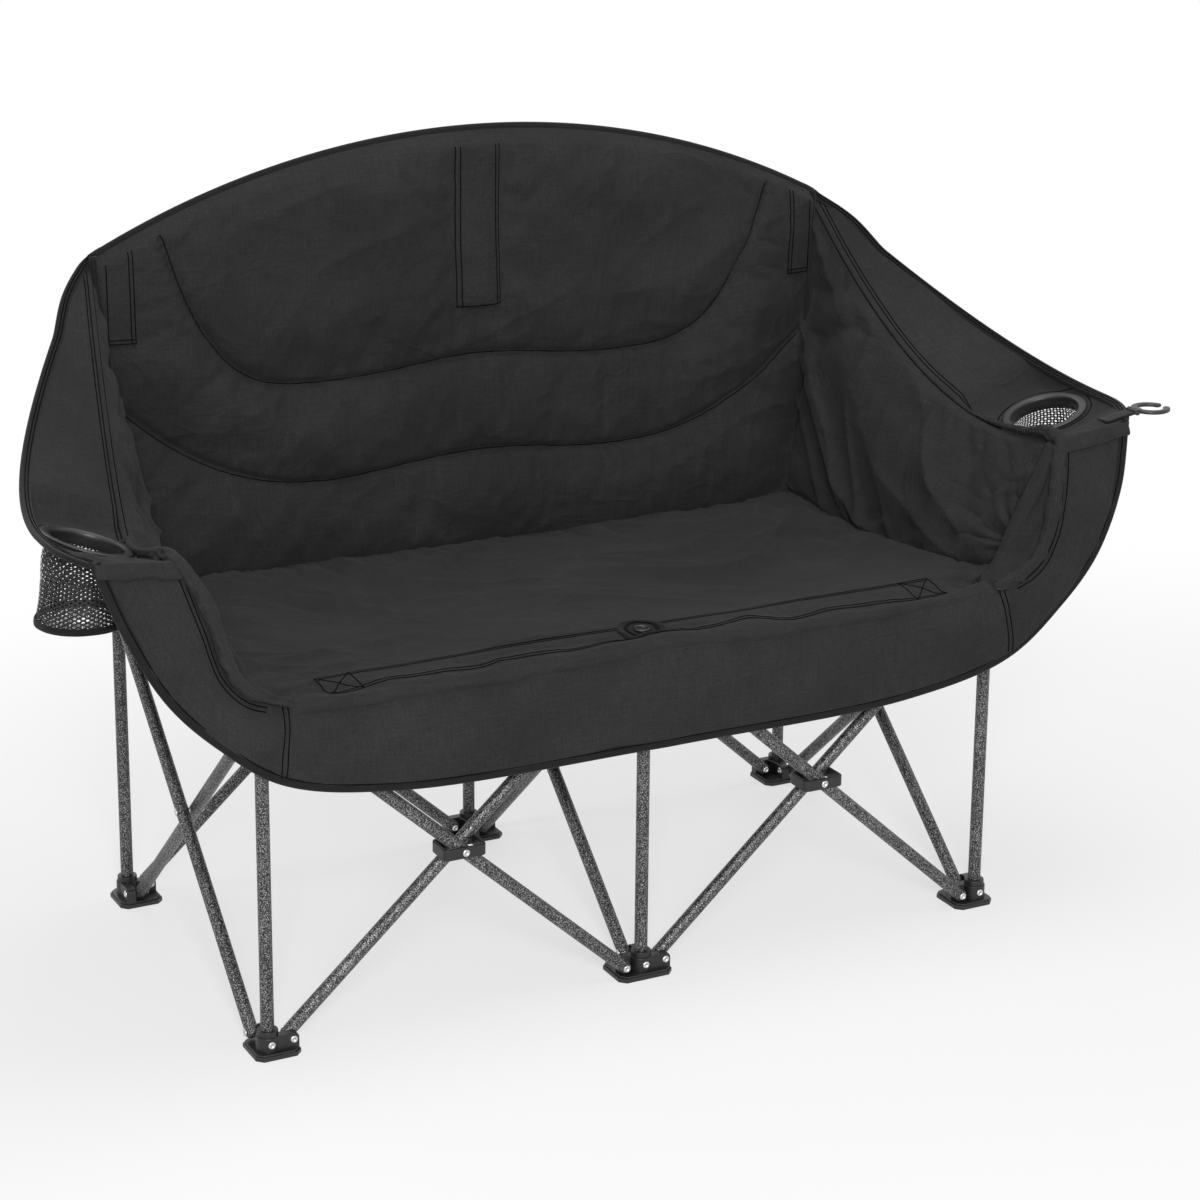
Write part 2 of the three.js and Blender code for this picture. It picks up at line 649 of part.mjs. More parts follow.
const armStations = [armFront, ...evenly(armFront, cupFlatFront, 2), ...evenly(cupFlatFront, cupFlatBack, 4),
  cupFlatBack + cupFlatEase, ...evenly(cupFlatBack + cupFlatEase, seatRear - sidePad, 7), backRear];
const sideStations = [sideFront, seatFlareY, ...armStations.filter((y) => y > seatFlareY)];
const seatStations = [seatFront, mix(seatFront, seatNotchY, 0.35), seatNotchY,
  ...sideStations.filter((y) => y >= seatFlareY && y < backRear), seatRear];

function seatCrown(u, y) {
  const inward = Math.min(u, 1 - u, (y - seatFront) / (seatRear - seatFront), (seatRear - y) / (seatRear - seatFront));
  return mix(seatEdge, seatThickness, Math.sqrt(clamp(8 * inward, 0, 1)));
}

function seat() {
  const columns = 20;
  const rows = seatStations.length - 1;
  const skin = (pad) => (u, v) => {
    const y = seatStations[Math.round(v * rows)];
    const x = (2 * u - 1) * seatHalf(y);
    return at(x, y, seatLow(x, y) + pad * seatCrown(u, y));
  };
  return betweenSkins(skin(1), skin(0), columns, rows);
}

// Where a side folds out into the arm top, and where the arm top ends, both as functions of y
function foldEdge(y) {
  const back = clamp((y - foldLowY) / (backRear - foldLowY), 0, 1);
  const front = clamp((foldLowY - y) / (foldLowY - armFront), 0, 1);
  const x = mix(foldLowX, foldBackX, back) + (foldFrontX - foldLowX) * front ** 2;
  const z = mix(foldLowZ, foldBackZ, back ** 1.85) + (foldFrontZ - foldLowZ) * front ** 2;
  return at(x, y, z);
}

function armEdge(y) {
  const back = clamp((y - armWidestY) / (backRear - armWidestY), 0, 1);
  const front = clamp((armWidestY - y) / (armWidestY - armFront), 0, 1);
  const climb = clamp((y - armLevelY) / (backRear - armLevelY), 0, 1);
  const x = mix(armOuterX, armOuterBackX, back ** 1.85) - (armOuterX - armCornerX) * front ** 3;
  const z = mix(armOuterZ, armOuterBackZ, climb ** 2) - (armOuterZ - armCornerZ) * front ** 2;
  return at(x, y, z);
}

// Padded side from the seat up to the fold
const sideShares = [0, 0.06, 0.25, 0.45, 0.65, 0.85, 1];

function sidePanel(side) {
  const columns = sideStations.length - 1;
  const rows = sideShares.length - 1;
  const place = (u, v) => {
    const column = Math.round(u * columns);
    const row = Math.round(v * rows);
    const y = sideStations[column];
    const footY = clamp(y, seatFlareY, seatRear);
    const footX = seatHalf(footY) + fitGap;
    const head = foldEdge(y);
    head.z -= armTopThickness + foldGap;
    const point = at(footX, y, seatLow(footX, footY)).lerp(head, sideShares[row]);
    const padded = column > 0 && column < columns - 1 && row > 1 && row < rows;
    const depth = Math.min(column, columns - 1 - column, 2 * (row - 1), 2 * (rows - row));
    return { point, swell: padded ? Math.sqrt(clamp(depth / 3, 0, 1)) : 0, head: sideShares[row] };
  };
  const innerSkin = (u, v) => {
    const p = place(u, v);
    return at(side * (p.point.x - sidePad * p.swell), p.point.y, p.point.z);
  };
  const outerSkin = (u, v) => {
    const p = place(u, v);
    return at(side * (p.point.x + mix(sideThickness, sideHeadThickness, p.head ** 8)), p.point.y, p.point.z);
  };
  return betweenSkins(innerSkin, outerSkin, columns, rows);
}

// The flat round each cup slopes in towards the sitter and forward
const cupNormal = (side) => at(-side * cupTiltX, -cupTiltY, 1).normalize();
const cupFlat = (x, y) => cupZ + (x - cupX) * cupTiltX + (y - cupY) * cupTiltY;

function placeOnArm(body, side) {
  const turn = new THREE.Matrix4().makeRotationFromQuaternion(
    new THREE.Quaternion().setFromUnitVectors(at(0, 0, 1), cupNormal(side)));
  turn.setPosition(side * cupX, cupY, cupZ);
  return body.transform(turn.toArray());
}

// Arm top: a band from the fold to the bound outer edge, flat round the cup and turned up at its edges there
const armShares = [0, 0.16, 0.4, 0.65, 0.9, 1];

function armSurface(y, v) {
  const p = foldEdge(y).lerp(armEdge(y), v);
  const beyond = Math.max(cupFlatFront - y, y - cupFlatBack);
  const ease = 1 - THREE.MathUtils.smoothstep(beyond, 0, cupFlatEase);
  if (v > 0 && v < 1) p.z = mix(p.z, cupFlat(p.x, y), ease);
  return p;
}

function armTop(side) {
  const columns = armStations.length - 1;
  const rows = armShares.length - 1;
  const skin = (depth) => (u, v) => {
    const p = armSurface(armStations[Math.round(u * columns)], armShares[Math.round(v * rows)]);
    return at(side * p.x, p.y, p.z - depth);
  };
  const recess = bar(at(0, 0, 0), at(0, 0, cupRingSkirt), cupRingOuter + fitGap, ringSides);
  const holeRadius = cupRingInner + cupRingWall + seatGap;
  const hole = bar(at(0, 0, -cupHoleReach), at(0, 0, cupRingSkirt), holeRadius, ringSides);
  const tools = [recess, hole].map((tool) => placeOnArm(tool, side));
  return cut(betweenSkins(skin(0), skin(armTopThickness), columns, rows), tools);
}

// Cup ring: a flat flange with a short skirt that the mesh cup hangs from
function cupRing(side) {
  const outline = [
    new THREE.Vector2(cupRingInner, -cupRingSkirt),
    new THREE.Vector2(cupRingInner + cupRingWall, -cupRingSkirt),
    new THREE.Vector2(cupRingInner + cupRingWall, seatGap),
    new THREE.Vector2(cupRingOuter, seatGap),
    new THREE.Vector2(cupRingOuter, seatGap + cupRingThickness),
    new THREE.Vector2(cupRingInner, seatGap + cupRingThickness),
    new THREE.Vector2(cupRingInner, -cupRingSkirt)];
  const ring = solid(new THREE.LatheGeometry(outline, ringSides).rotateX(Math.PI / 2));
  return placeOnArm(ring, side);
}

// Mesh cup: a soft net bag with a bound foot, open at the top
function meshCup(side) {
  const top = -cupRingSkirt - seatGap;
  const low = top - meshCupDepth;
  const rim = cupRingInner + cupRingWall;
  const outline = [
    new THREE.Vector2(0, low),
    new THREE.Vector2(meshCupFoot + meshCupRim / 2, low),
    new THREE.Vector2(meshCupFoot + meshCupRim / 2, low + meshCupRim),
    new THREE.Vector2(rim, top),
    new THREE.Vector2(rim - meshCupWall, top),
    new THREE.Vector2(meshCupFoot - meshCupWall, low + meshCupRim),
    new THREE.Vector2(meshCupFoot - meshCupWall, low + meshCupFloor),
    new THREE.Vector2(0, low + meshCupFloor)];
  const cup = solid(new THREE.LatheGeometry(outline, ringSides).rotateX(Math.PI / 2));
  return placeOnArm(cup, side);
}

// Apron: the front band, a U from arm to arm that hangs below the seat's front edge
const rimShares = [[0, 0], [0.62, -0.03], [0.81, 0.03], [0.885, 0.1], [0.935, 0.27], [0.968, 0.62], [1, 1]];
const hemShares = [[0, 0], [0.5, 0.02], [0.71, 0.12], [0.82, 0.3], [0.9, 0.49], [0.96, 0.74], [1, 1]];

function apronLine(shares, halfWidth, centreZ, endZ, centreY) {
  const points = shares.map(([wide, tall]) => at(wide * halfWidth, mix(centreY, armFront - apronEndGap, tall ** 3),
    mix(centreZ, endZ, tall)));
  return new THREE.CatmullRomCurve3(points, false, 'centripetal');
}

function apron() {
  const columns = 40;
  const rows = 3;
  const rim = apronLine(rimShares, foldFrontX, apronCentreRim, foldFrontZ, apronRimY);
  const hem = apronLine(hemShares, armCornerX, apronCentreHem, armCornerZ, apronHemY);
  const place = (u, v) => {
    const half = Math.abs(2 * u - 1);
    const side = Math.sign(2 * u - 1);
    const p = hem.getPoint(half).lerp(rim.getPoint(half), v);
    p.y -= apronBelly * Math.sin(Math.PI * v) * (1 - half ** 4);
    p.x *= side;
    return p;
  };
  const frontSkin = (u, v) => {
    const p = place(u, v);
    return at(p.x, p.y - apronThickness, p.z);
  };
  return betweenSkins(frontSkin, place, columns, rows);
}

// Badge over the front centre upright: a bound patch with a button
const seatTop = (y) => seatLow(0, y) + seatCrown(0.5, y);

function badge() {
  const outline = new THREE.Shape();
  outline.moveTo(-badgeWidth / 2, 0);
  outline.quadraticCurveTo(-badgeWidth / 4, -badgeDepth / 2, 0, -badgeDepth / 2);
  outline.quadraticCurveTo(badgeWidth / 4, -badgeDepth / 2, badgeWidth / 2, 0);
  outline.quadraticCurveTo(badgeWidth / 4, badgeDepth / 2, 0, badgeDepth / 2);
  outline.quadraticCurveTo(-badgeWidth / 4, badgeDepth / 2, -badgeWidth / 2, 0);
  const patch = solid(new THREE.ExtrudeGeometry(outline, { depth: badgeThickness, bevelEnabled: false, curveSegments: 4 }));
  const button = bar(at(0, 0, 0), at(0, 0, badgeThickness + badgeButtonHeight), badgeButtonRadius, tubeSides);
  const low = seatTop(badgeY - badgeDepth / 2);
  const high = seatTop(badgeY + badgeDepth / 2);
  return join([patch, button])
    .rotate([THREE.MathUtils.radToDeg(Math.atan2(high - low, badgeDepth)), 0, 0])
    .translate([0, badgeY, Math.max((low + high) / 2, seatTop(badgeY)) + seatGap]);
}

// Glass holder on the right arm: a sewn tab with a pin, and a moulded ring with an open mouth that hinges on it
const tabFoot = armSurface(glassTabY, glassTabShare);
const tabHead = armSurface(glassTabY, 1);
const tabLean = Math.atan2(tabHead.z - tabFoot.z, tabHead.x - tabFoot.x);
const glassPivot = at(glassPivotX, glassTabY,
  tabFoot.z + (glassPivotX - tabFoot.x) * Math.tan(tabLean) + glassTabRise);

function glassTab() {
  const half = glassTabWidth / 2;
  const length = (glassPivotX - tabFoot.x) / Math.cos(tabLean);
  const slab = block([-length, -half, -glassTabThickness / 2], [0, half, glassTabThickness / 2]);
  const knuckle = bar(at(0, -half, 0), at(0, half, 0), glassKnuckleRadius, tubeSides);
  const gap = glassNeckWidth / 2 + fitGap;
  const notch = block([-glassKnuckleRadius - fitGap, -gap, -glassKnuckleRadius - cutOverrun],
    [glassKnuckleRadius + cutOverrun, gap, glassKnuckleRadius + cutOverrun]);
  const pin = bar(at(0, -half + cutOverrun, 0), at(0, half - cutOverrun, 0), glassPinRadius, pinSides);
  return join([cut(join([slab, knuckle]), [notch]), pin])
    .rotate([0, -THREE.MathUtils.radToDeg(tabLean), 0])
    .translate(glassPivot.toArray());
}

function glassHolder() {
  const half = glassRingThickness / 2;
  const ringX = glassKnuckleRadius / 2 + glassRingRadius;
  const disc = bar(at(ringX, 0, -half), at(ringX, 0, half), glassRingRadius, ringSides);
  const neck = block([0, -glassNeckWidth / 2, -half], [ringX - glassRingBore, glassNeckWidth / 2, half]);
  const barrel = bar(at(0, -glassNeckWidth / 2, 0), at(0, glassNeckWidth / 2, 0), glassKnuckleRadius, tubeSides);
  const clearance = [-1, 1].map((end) => {
    const near = end * (glassNeckWidth / 2);
    const far = end * glassTabWidth;
    return block([-glassKnuckleRadius, Math.min(near, far), -glassKnuckleRadius],
      [glassKnuckleRadius + fitGap, Math.max(near, far), glassKnuckleRadius]);
  });
  const bore = bar(at(ringX, 0, -glassRingThickness), at(ringX, 0, glassRingThickness), glassRingBore, ringSides);
  const mouth = block([ringX, -glassRingMouth / 2, -glassRingThickness],
    [ringX + glassRingRadius + cutOverrun, glassRingMouth / 2, glassRingThickness]);
  const pinHole = bar(at(0, -glassNeckWidth, 0), at(0, glassNeckWidth, 0),
    (glassPinRadius + seatGap) / Math.cos(Math.PI / pinSides), pinSides);
  return cut(join([disc, neck, barrel]), [bore, mouth, pinHole, ...clearance]).translate(glassPivot.toArray());
}

// Fabric and fittings
const fabric = new THREE.Group();
fabric.add(namedMesh('backrest', backrest(), oxford));
fabric.add(namedMesh('seat', seat(), oxford));
fabric.add(namedMesh('apron', apron(), oxford));
for (const [sideName, side] of [['left', -1], ['right', 1]]) {
  fabric.add(namedMesh(`${sideName}_side_panel`, sidePanel(side), oxford));
  fabric.add(namedMesh(`${sideName}_arm_top`, armTop(side), oxford));
  fabric.add(namedMesh(`${sideName}_cup_ring`, cupRing(side), blackPlastic));
  fabric.add(namedMesh(`${sideName}_mesh_cup`, meshCup(side), meshFabric));
}
fabric.add(namedMesh('seat_badge', badge(), blackPlastic));
fabric.add(namedMesh('glass_holder_tab', glassTab(), oxford));
fabric.add(namedMesh('glass_holder', glassHolder(), blackPlastic));

const loveseat = new THREE.Group();
loveseat.add(frame, fabric);

export default loveseat;
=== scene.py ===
import json
import math
import bmesh
import bpy
import numpy as np
from mathutils import Matrix, Vector
from mathutils.bvhtree import BVHTree


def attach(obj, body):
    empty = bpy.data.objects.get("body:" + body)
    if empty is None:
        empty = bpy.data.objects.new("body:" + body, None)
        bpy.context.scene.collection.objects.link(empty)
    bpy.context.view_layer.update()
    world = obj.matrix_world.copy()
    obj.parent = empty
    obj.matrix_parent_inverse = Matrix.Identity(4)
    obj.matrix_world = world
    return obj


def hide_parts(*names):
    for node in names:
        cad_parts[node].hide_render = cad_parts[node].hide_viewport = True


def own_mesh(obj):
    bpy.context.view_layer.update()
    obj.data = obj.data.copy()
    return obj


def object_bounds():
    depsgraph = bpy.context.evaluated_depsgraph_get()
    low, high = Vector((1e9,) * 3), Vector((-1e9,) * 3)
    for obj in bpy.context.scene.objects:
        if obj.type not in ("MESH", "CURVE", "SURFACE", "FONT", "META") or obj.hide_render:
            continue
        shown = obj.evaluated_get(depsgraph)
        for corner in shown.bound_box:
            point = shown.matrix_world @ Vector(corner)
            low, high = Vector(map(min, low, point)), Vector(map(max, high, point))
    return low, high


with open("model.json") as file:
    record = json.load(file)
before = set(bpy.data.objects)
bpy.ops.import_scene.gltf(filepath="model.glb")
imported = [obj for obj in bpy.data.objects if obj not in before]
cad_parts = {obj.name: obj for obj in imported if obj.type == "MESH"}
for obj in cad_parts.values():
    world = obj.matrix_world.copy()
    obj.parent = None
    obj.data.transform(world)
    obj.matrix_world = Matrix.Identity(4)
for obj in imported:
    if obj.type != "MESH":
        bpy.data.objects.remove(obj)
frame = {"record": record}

# Folding camping loveseat: a padded fabric tub on a scissor frame of hammertone tubes.
# Lengths below are millimetres in the shared frame; meshes are written in metres.
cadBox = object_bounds()
bodyOfNode = {node: body for body, nodes in frame["record"]["behaviour"]["bodies"].items() for node in nodes}

# camera, lights and floor
cameraSet = {"place": (-1.6195, -2.9262, 1.5855), "turn": -0.454, "down": 0.269, "lens": 89.15,
             "shift": (0.0833, -0.125)}
lightSet = {
    "overhead": {"place": (0.2, 0.1, 3.2), "aim": (0, 0.2, 0.5), "size": (2.2, 1.6), "watts": 34},
    "frontLeft": {"place": (-1.8, -3.7, 2.4), "aim": (0, 0.1, 0.6), "size": (1.0, 1.2), "watts": 144},
    "right": {"place": (3.2, -1.8, 2.2), "aim": (0.2, 0.2, 0.6), "size": (1.4, 2.2), "watts": 3.5},
    "behind": {"place": (-0.6, 3.4, 2.6), "aim": (0, 0.2, 0.7), "size": (3.0, 1.4), "watts": 22}}
floorSet = {"tone": 0.92, "glow": 0.61, "fadeStart": 0.62, "fadeEnd": 1.6, "worldStrength": 0.30}


class Wire:
    # a socket in a node tree, with the operators that shader maths needs
    def __init__(self, recipe, socket):
        self.recipe = recipe
        self.socket = socket

    def maths(self, operation, *values, clamp=False):
        settings = {"operation": operation, "use_clamp": clamp}
        return self.recipe.node("ShaderNodeMath", settings, dict(enumerate(values)))

    def __add__(self, other):
        return self.maths("ADD", self, other)

    def __sub__(self, other):
        return self.maths("SUBTRACT", self, other)

    def __mul__(self, other):
        return self.maths("MULTIPLY", self, other)

    def __pow__(self, other):
        return self.maths("POWER", self, other)

    def __rsub__(self, other):
        return self.maths("SUBTRACT", other, self)

    __radd__ = __add__
    __rmul__ = __mul__

    def sine(self):
        return self.maths("SINE", self)

    def absolute(self):
        return self.maths("ABSOLUTE", self)

    def clamped(self):
        return self.maths("ADD", self, 0.0, clamp=True)


class Recipe:
    # one material or world and its nodes
    def __init__(self, name, world=None):
        self.holder = world or bpy.data.materials.new(name)
        self.holder.use_nodes = True
        self.tree = self.holder.node_tree
        self.tree.nodes.clear()

    def node(self, kind, settings=None, inputs=None, output=0):
        made = self.tree.nodes.new(kind)
        for key, value in (settings or {}).items():
            if key == "stops":
                while len(made.color_ramp.elements) < len(value):
                    made.color_ramp.elements.new(0.5)
                for element, (spot, colour) in zip(made.color_ramp.elements, value):
                    element.position = spot
                    element.color = grey(colour) if np.isscalar(colour) else (*colour, 1.0)
            else:
                setattr(made, key, value)
        for key, value in (inputs or {}).items():
            socket = made.inputs[key]
            if isinstance(value, Wire):
                self.tree.links.new(value.socket, socket)
            else:
                socket.default_value = value
        return Wire(self, made.outputs[output]) if made.outputs else made

    def coordinates(self, kind="Object"):
        return self.node("ShaderNodeTexCoord", output=kind)

    def parts(self, vector):
        split = self.tree.nodes.new("ShaderNodeSeparateXYZ")
        self.tree.links.new(vector.socket, split.inputs[0])
        return [Wire(self, split.outputs[i]) for i in range(3)]

    def noise(self, vector, scale, detail=2.0, roughness=0.5):
        return self.node("ShaderNodeTexNoise", None,
                         {"Vector": vector, "Scale": scale, "Detail": detail, "Roughness": roughness})

    def bump(self, height, distance, strength=1.0, under=None):
        inputs = {"Height": height, "Distance": distance, "Strength": strength}
        if under:
            inputs["Normal"] = under
        return self.node("ShaderNodeBump", None, inputs)

    def finish(self, **sockets):
        names = {key.replace("_", " "): value for key, value in sockets.items()}
        shader = self.node("ShaderNodeBsdfPrincipled", None, names)
        self.node("ShaderNodeOutputMaterial", None, {"Surface": shader})
        return self.holder


def grey(value):
    return (value, value, value, 1.0)


clothSet = {"pitch": 0.0011, "streaks": ((24.0, 620.0, 1.0), (620.0, 24.0, 1.0)), "fleck": 700.0, "cloud": 6.0,
            "wrinkle": 26.0, "swirl": 7.5, "twist": 1.4, "ridgeShare": 0.45, "weaveDeep": 0.0003,
            "weights": {"over": 0.16, "slub": 0.42, "fleck": 0.48, "cloud": 0.34},
            "stops": ((0.40, 0.55, 0.57), (0.68, 1.0, 1.04), (0.95, 2.0, 2.1))}
tapeSet = {"pitch": 0.0014, "cloud": 60.0, "stops": ((0.1, 0.6), (0.9, 1.5)), "weaveDeep": 0.00025}


def rampOf(base, stops):
    # a ramp's stops as shares of one grey
    return {"stops": [(spot, base * share) for spot, share in stops]}


def makeFabric(name, base, sheen, roughness, crease):
    # plain woven cloth: threads follow the piece's own UV map, which is in metres
    cloth = Recipe(name)
    mapped = cloth.coordinates("UV")
    u, v, _ = cloth.parts(mapped)
    turn = 2 * math.pi / clothSet["pitch"]
    warp = (u * turn).sine()
    weft = (v * turn).sine()
    over = (warp * weft) * 0.5 + 0.5
    place = cloth.coordinates()
    drawn = []
    for scale in clothSet["streaks"]:
        streak = cloth.node("ShaderNodeVectorMath", {"operation": "MULTIPLY"}, {0: mapped, 1: scale})
        drawn.append(cloth.noise(streak, 1.0, 2.0, 0.6))
    slub = drawn[0] * 0.5 + drawn[1] * 0.5
    fleck = cloth.noise(place, clothSet["fleck"], 2.0, 0.7)
    cloud = cloth.noise(place, clothSet["cloud"], 4.0, 0.6)
    weights = clothSet["weights"]
    tone = over * weights["over"] + slub * weights["slub"] + fleck * weights["fleck"] + cloud * weights["cloud"]
    colour = cloth.node("ShaderNodeValToRGB", {"stops": [
        (spot, (base * dim, base * dim, base * blue)) for spot, dim, blue in clothSet["stops"]]}, {"Fac": tone})
    weave = cloth.bump(over * 0.6 + slub * 0.8, clothSet["weaveDeep"], 0.8)
    wrinkle = cloth.noise(place, clothSet["wrinkle"], 6.0, 0.62)
    swirl = cloth.node("ShaderNodeTexNoise", None, {
        "Vector": place, "Scale": clothSet["swirl"], "Detail": 2.0, "Roughness": 0.5,
        "Distortion": clothSet["twist"]})
    # narrow ridges where the swirling noise crosses its middle
    ridge = (1 - ((swirl - 0.5) * 7.0).absolute()).clamped() ** 2.0
    soft = cloth.bump(wrinkle + ridge * clothSet["ridgeShare"], crease, 1.0, under=weave)
    rough = (cloud - 0.5) * 0.16 + roughness
    return cloth.finish(Base_Color=colour, Roughness=rough, Normal=soft, Sheen_Weight=sheen,
                        Sheen_Roughness=0.45, Specular_IOR_Level=0.09)


def makeTape(name, base):
    # woven binding and webbing: ribs run across it on the UV map
    tape = Recipe(name)
    u, v, _ = tape.parts(tape.coordinates("UV"))
    turn = 2 * math.pi / tapeSet["pitch"]
    ribs = ((u + v) * turn).sine() * 0.5 + 0.5
    cross = ((u - v) * turn).sine() * 0.5 + 0.5
    weave = ribs * cross
    cloud = tape.noise(tape.coordinates(), tapeSet["cloud"], 3.0)
    colour = tape.node("ShaderNodeValToRGB", rampOf(base, tapeSet["stops"]), {"Fac": weave * 0.5 + cloud * 0.5})
    normal = tape.bump(weave, tapeSet["weaveDeep"], 0.8)
    return tape.finish(Base_Color=colour, Roughness=0.72, Normal=normal, Sheen_Weight=0.1,
                       Sheen_Roughness=0.4, Specular_IOR_Level=0.12)


def makeHammertone():
    # dark grey hammered powder coat: rounded bumps with fine pale flecks; the colour is also made lighter on the
    # bumps' crowns as a painted highlight and black in their hollows as painted shade
    paintSet = {"cell": 640.0, "grain": 780.0, "drift": 14.0, "deep": 0.0009,
                "stops": ((0.42, 0.004), (0.51, 0.028), (0.59, 0.14), (0.68, 0.42))}
    paint = Recipe("hammertonePaint")
    place = paint.coordinates()
    cell = paint.node("ShaderNodeTexVoronoi", {"feature": "SMOOTH_F1"},
                      {"Vector": place, "Scale": paintSet["cell"], "Smoothness": 0.5})
    grain = paint.noise(place, paintSet["grain"], 2.0, 0.6)
    drift = paint.noise(place, paintSet["drift"], 3.0)
    reliefAndPaintedShade = (1 - cell) * 0.42 + grain * 0.62 + (drift - 0.5) * 0.1
    # the colour follows the bumps' height: painted highlight on the crowns and painted shade in the hollows, over the
    # paint's own flecks
    colour = paint.node("ShaderNodeValToRGB", {"stops": paintSet["stops"]}, {"Fac": reliefAndPaintedShade})
    rough = 0.56 - grain * 0.34
    normal = paint.bump(reliefAndPaintedShade, paintSet["deep"], 0.8)
    return paint.finish(Base_Color=colour, Roughness=rough, Normal=normal, Metallic=0.4, Specular_IOR_Level=0.7)


def makePlastic(name, base, roughness, gloss=0.5):
    # black moulding or thread with a fine spark texture and paler rubbed spots
    moulding = Recipe(name)
    place = moulding.coordinates()
    fine = moulding.noise(place, 1400.0, 2.0)
    broad = moulding.noise(place, 55.0, 4.0)
    colour = moulding.node("ShaderNodeValToRGB", rampOf(base, ((0.3, 0.7), (0.75, 1.6))),
                           {"Fac": broad * 0.7 + fine * 0.3})
    rough = roughness + (fine - 0.5) * 0.2
    normal = moulding.bump(fine * 0.7 + broad * 0.3, 0.00025, 0.5)
    return moulding.finish(Base_Color=colour, Roughness=rough, Normal=normal, Specular_IOR_Level=gloss)


def makeZinc(name, base, roughness):
    # plated steel with fine scuffs
    metal = Recipe(name)
    place = metal.coordinates()
    scuff = metal.noise(place, 900.0, 4.0, 0.7)
    cloud = metal.noise(place, 90.0, 3.0)
    colour = metal.node("ShaderNodeValToRGB", rampOf(base, ((0.2, 0.55), (0.8, 1.0))),
                        {"Fac": scuff * 0.5 + cloud * 0.5})
    rough = scuff * 0.25 + roughness
    normal = metal.bump(scuff, 0.00012, 0.4)
    return metal.finish(Base_Color=colour, Roughness=rough, Normal=normal, Metallic=1.0)


oxford = makeFabric("blackOxford", 0.0235, 0.03, 0.84, 0.0024)
oxfordLining = makeFabric("blackLining", 0.014, 0.04, 0.86, 0.0010)
tapeBlack = makeTape("bindingTape", 0.012)
threadBlack = makePlastic("sewingThread", 0.0035, 0.8, 0.03)
hammertone = makeHammertone()
plasticBlack = makePlastic("blackMoulding", 0.010, 0.42)
zinc = makeZinc("zincRivet", 0.78, 0.18)
rodSteel = makeZinc("innerRodSteel", 0.52, 0.30)
print("materials made")


# mesh helpers
def linked(made):
    bpy.context.scene.collection.objects.link(made)
    return made


def meshObject(name, places, faces, material, uv=None, smooth=True):
    mesh = bpy.data.meshes.new(name)
    mesh.from_pydata((np.asarray(places, float) * 0.001).tolist(), [], faces)
    if uv is not None:
        layer = mesh.uv_layers.new(name="cloth")
        loops = np.empty(len(mesh.loops), int)
        mesh.loops.foreach_get("vertex_index", loops)
        layer.data.foreach_set("uv", (np.asarray(uv, float)[loops] * 0.001).ravel())
    mesh.polygons.foreach_set("use_smooth", [smooth] * len(mesh.polygons))
    mesh.materials.append(material)
    mesh.update()
    return linked(bpy.data.objects.new(name, mesh))


def gridFaces(rows, columns, start=0, flip=False, wrap=False):
    faces = []
    for j in range(rows - 1):
        for i in range(columns if wrap else columns - 1):
            a = start + j * columns + i
            b = start + j * columns + (i + 1) % columns
            quad = (a, b, b + columns, a + columns)
            faces.append(quad[::-1] if flip else quad)
    return faces


def arcUv(grid):
    # distances along the rows and columns, so that a weave keeps its size
    along = np.zeros(grid.shape[:2])
    up = np.zeros(grid.shape[:2])
    along[:, 1:] = np.cumsum(np.linalg.norm(np.diff(grid, axis=1), axis=2), axis=1)
    up[1:, :] = np.cumsum(np.linalg.norm(np.diff(grid, axis=0), axis=2), axis=0)
    middle = grid.shape[1] // 2
    along -= along[:, middle:middle + 1]
    return np.stack([along, up], axis=2)


def travelAlong(points):
    # the way from the first point to each one
    return np.concatenate([[0], np.cumsum(np.linalg.norm(np.diff(points, axis=0), axis=1))])


def unitRows(rows):
    return rows / np.linalg.norm(rows, axis=1, keepdims=True)


def wayOf(line):
    # the unit direction of a line at each of its points
    return unitRows(np.gradient(line, axis=0))


def crosswise(rows, way):
    # unit rows square to a line's way
    return unitRows(rows - way * np.sum(rows * way, axis=1, keepdims=True))


def shellObject(name, outer, inner, material):
    # a closed shell between two grids of rows x columns points; outer is the side that faces out
    rows, columns = outer.shape[:2]
    count = rows * columns
    faces = gridFaces(rows, columns) + gridFaces(rows, columns, count, flip=True)
    for i in range(columns - 1):
        faces.append((i + 1, i, count + i, count + i + 1))
        a = (rows - 1) * columns + i
        faces.append((a, a + 1, count + a + 1, count + a))
    for j in range(rows - 1):
        a = j * columns
        faces.append((a, a + columns, count + a + columns, count + a))
        b = a + columns - 1
        faces.append((b + columns, b, count + b, count + b + columns))
    uv = np.concatenate([arcUv(outer).reshape(-1, 2), arcUv(inner).reshape(-1, 2)])
    places = np.concatenate([outer.reshape(-1, 3), inner.reshape(-1, 3)])
    return meshObject(name, places, faces, material, uv)


def refine(piece):
    # one subdivision, made a plain mesh
    subdivide = piece.modifiers.new("finer", "SUBSURF")
    subdivide.levels = subdivide.render_levels = 1
    plain(piece)


def plain(piece):
    graph = bpy.context.evaluated_depsgraph_get()
    graph.update()
    mesh = bpy.data.meshes.new_from_object(piece.evaluated_get(graph), preserve_all_data_layers=True,
                                           depsgraph=graph)
    old = piece.data
    piece.modifiers.clear()
    piece.data = mesh
    bpy.data.meshes.remove(old)
    mesh.name = piece.name


def pointsOf(piece):
    places = np.empty(len(piece.data.vertices) * 3)
    piece.data.vertices.foreach_get("co", places)
    return places.reshape(-1, 3) * 1000


def normalsOf(piece):
    normals = np.empty(len(piece.data.vertices) * 3)
    piece.data.vertex_normals.foreach_get("vector", normals)
    return normals.reshape(-1, 3)


def putPoints(piece, places):
    piece.data.vertices.foreach_set("co", (np.asarray(places) * 0.001).ravel())
    piece.data.update()


def lerp(a, b, share):
    return a + (b - a) * share


def smoothStep(value, low, high):
    share = np.clip((value - low) / (high - low), 0, 1)
    return share * share * (3 - 2 * share)


randomTable = np.random.RandomState(7).rand(256, 256)


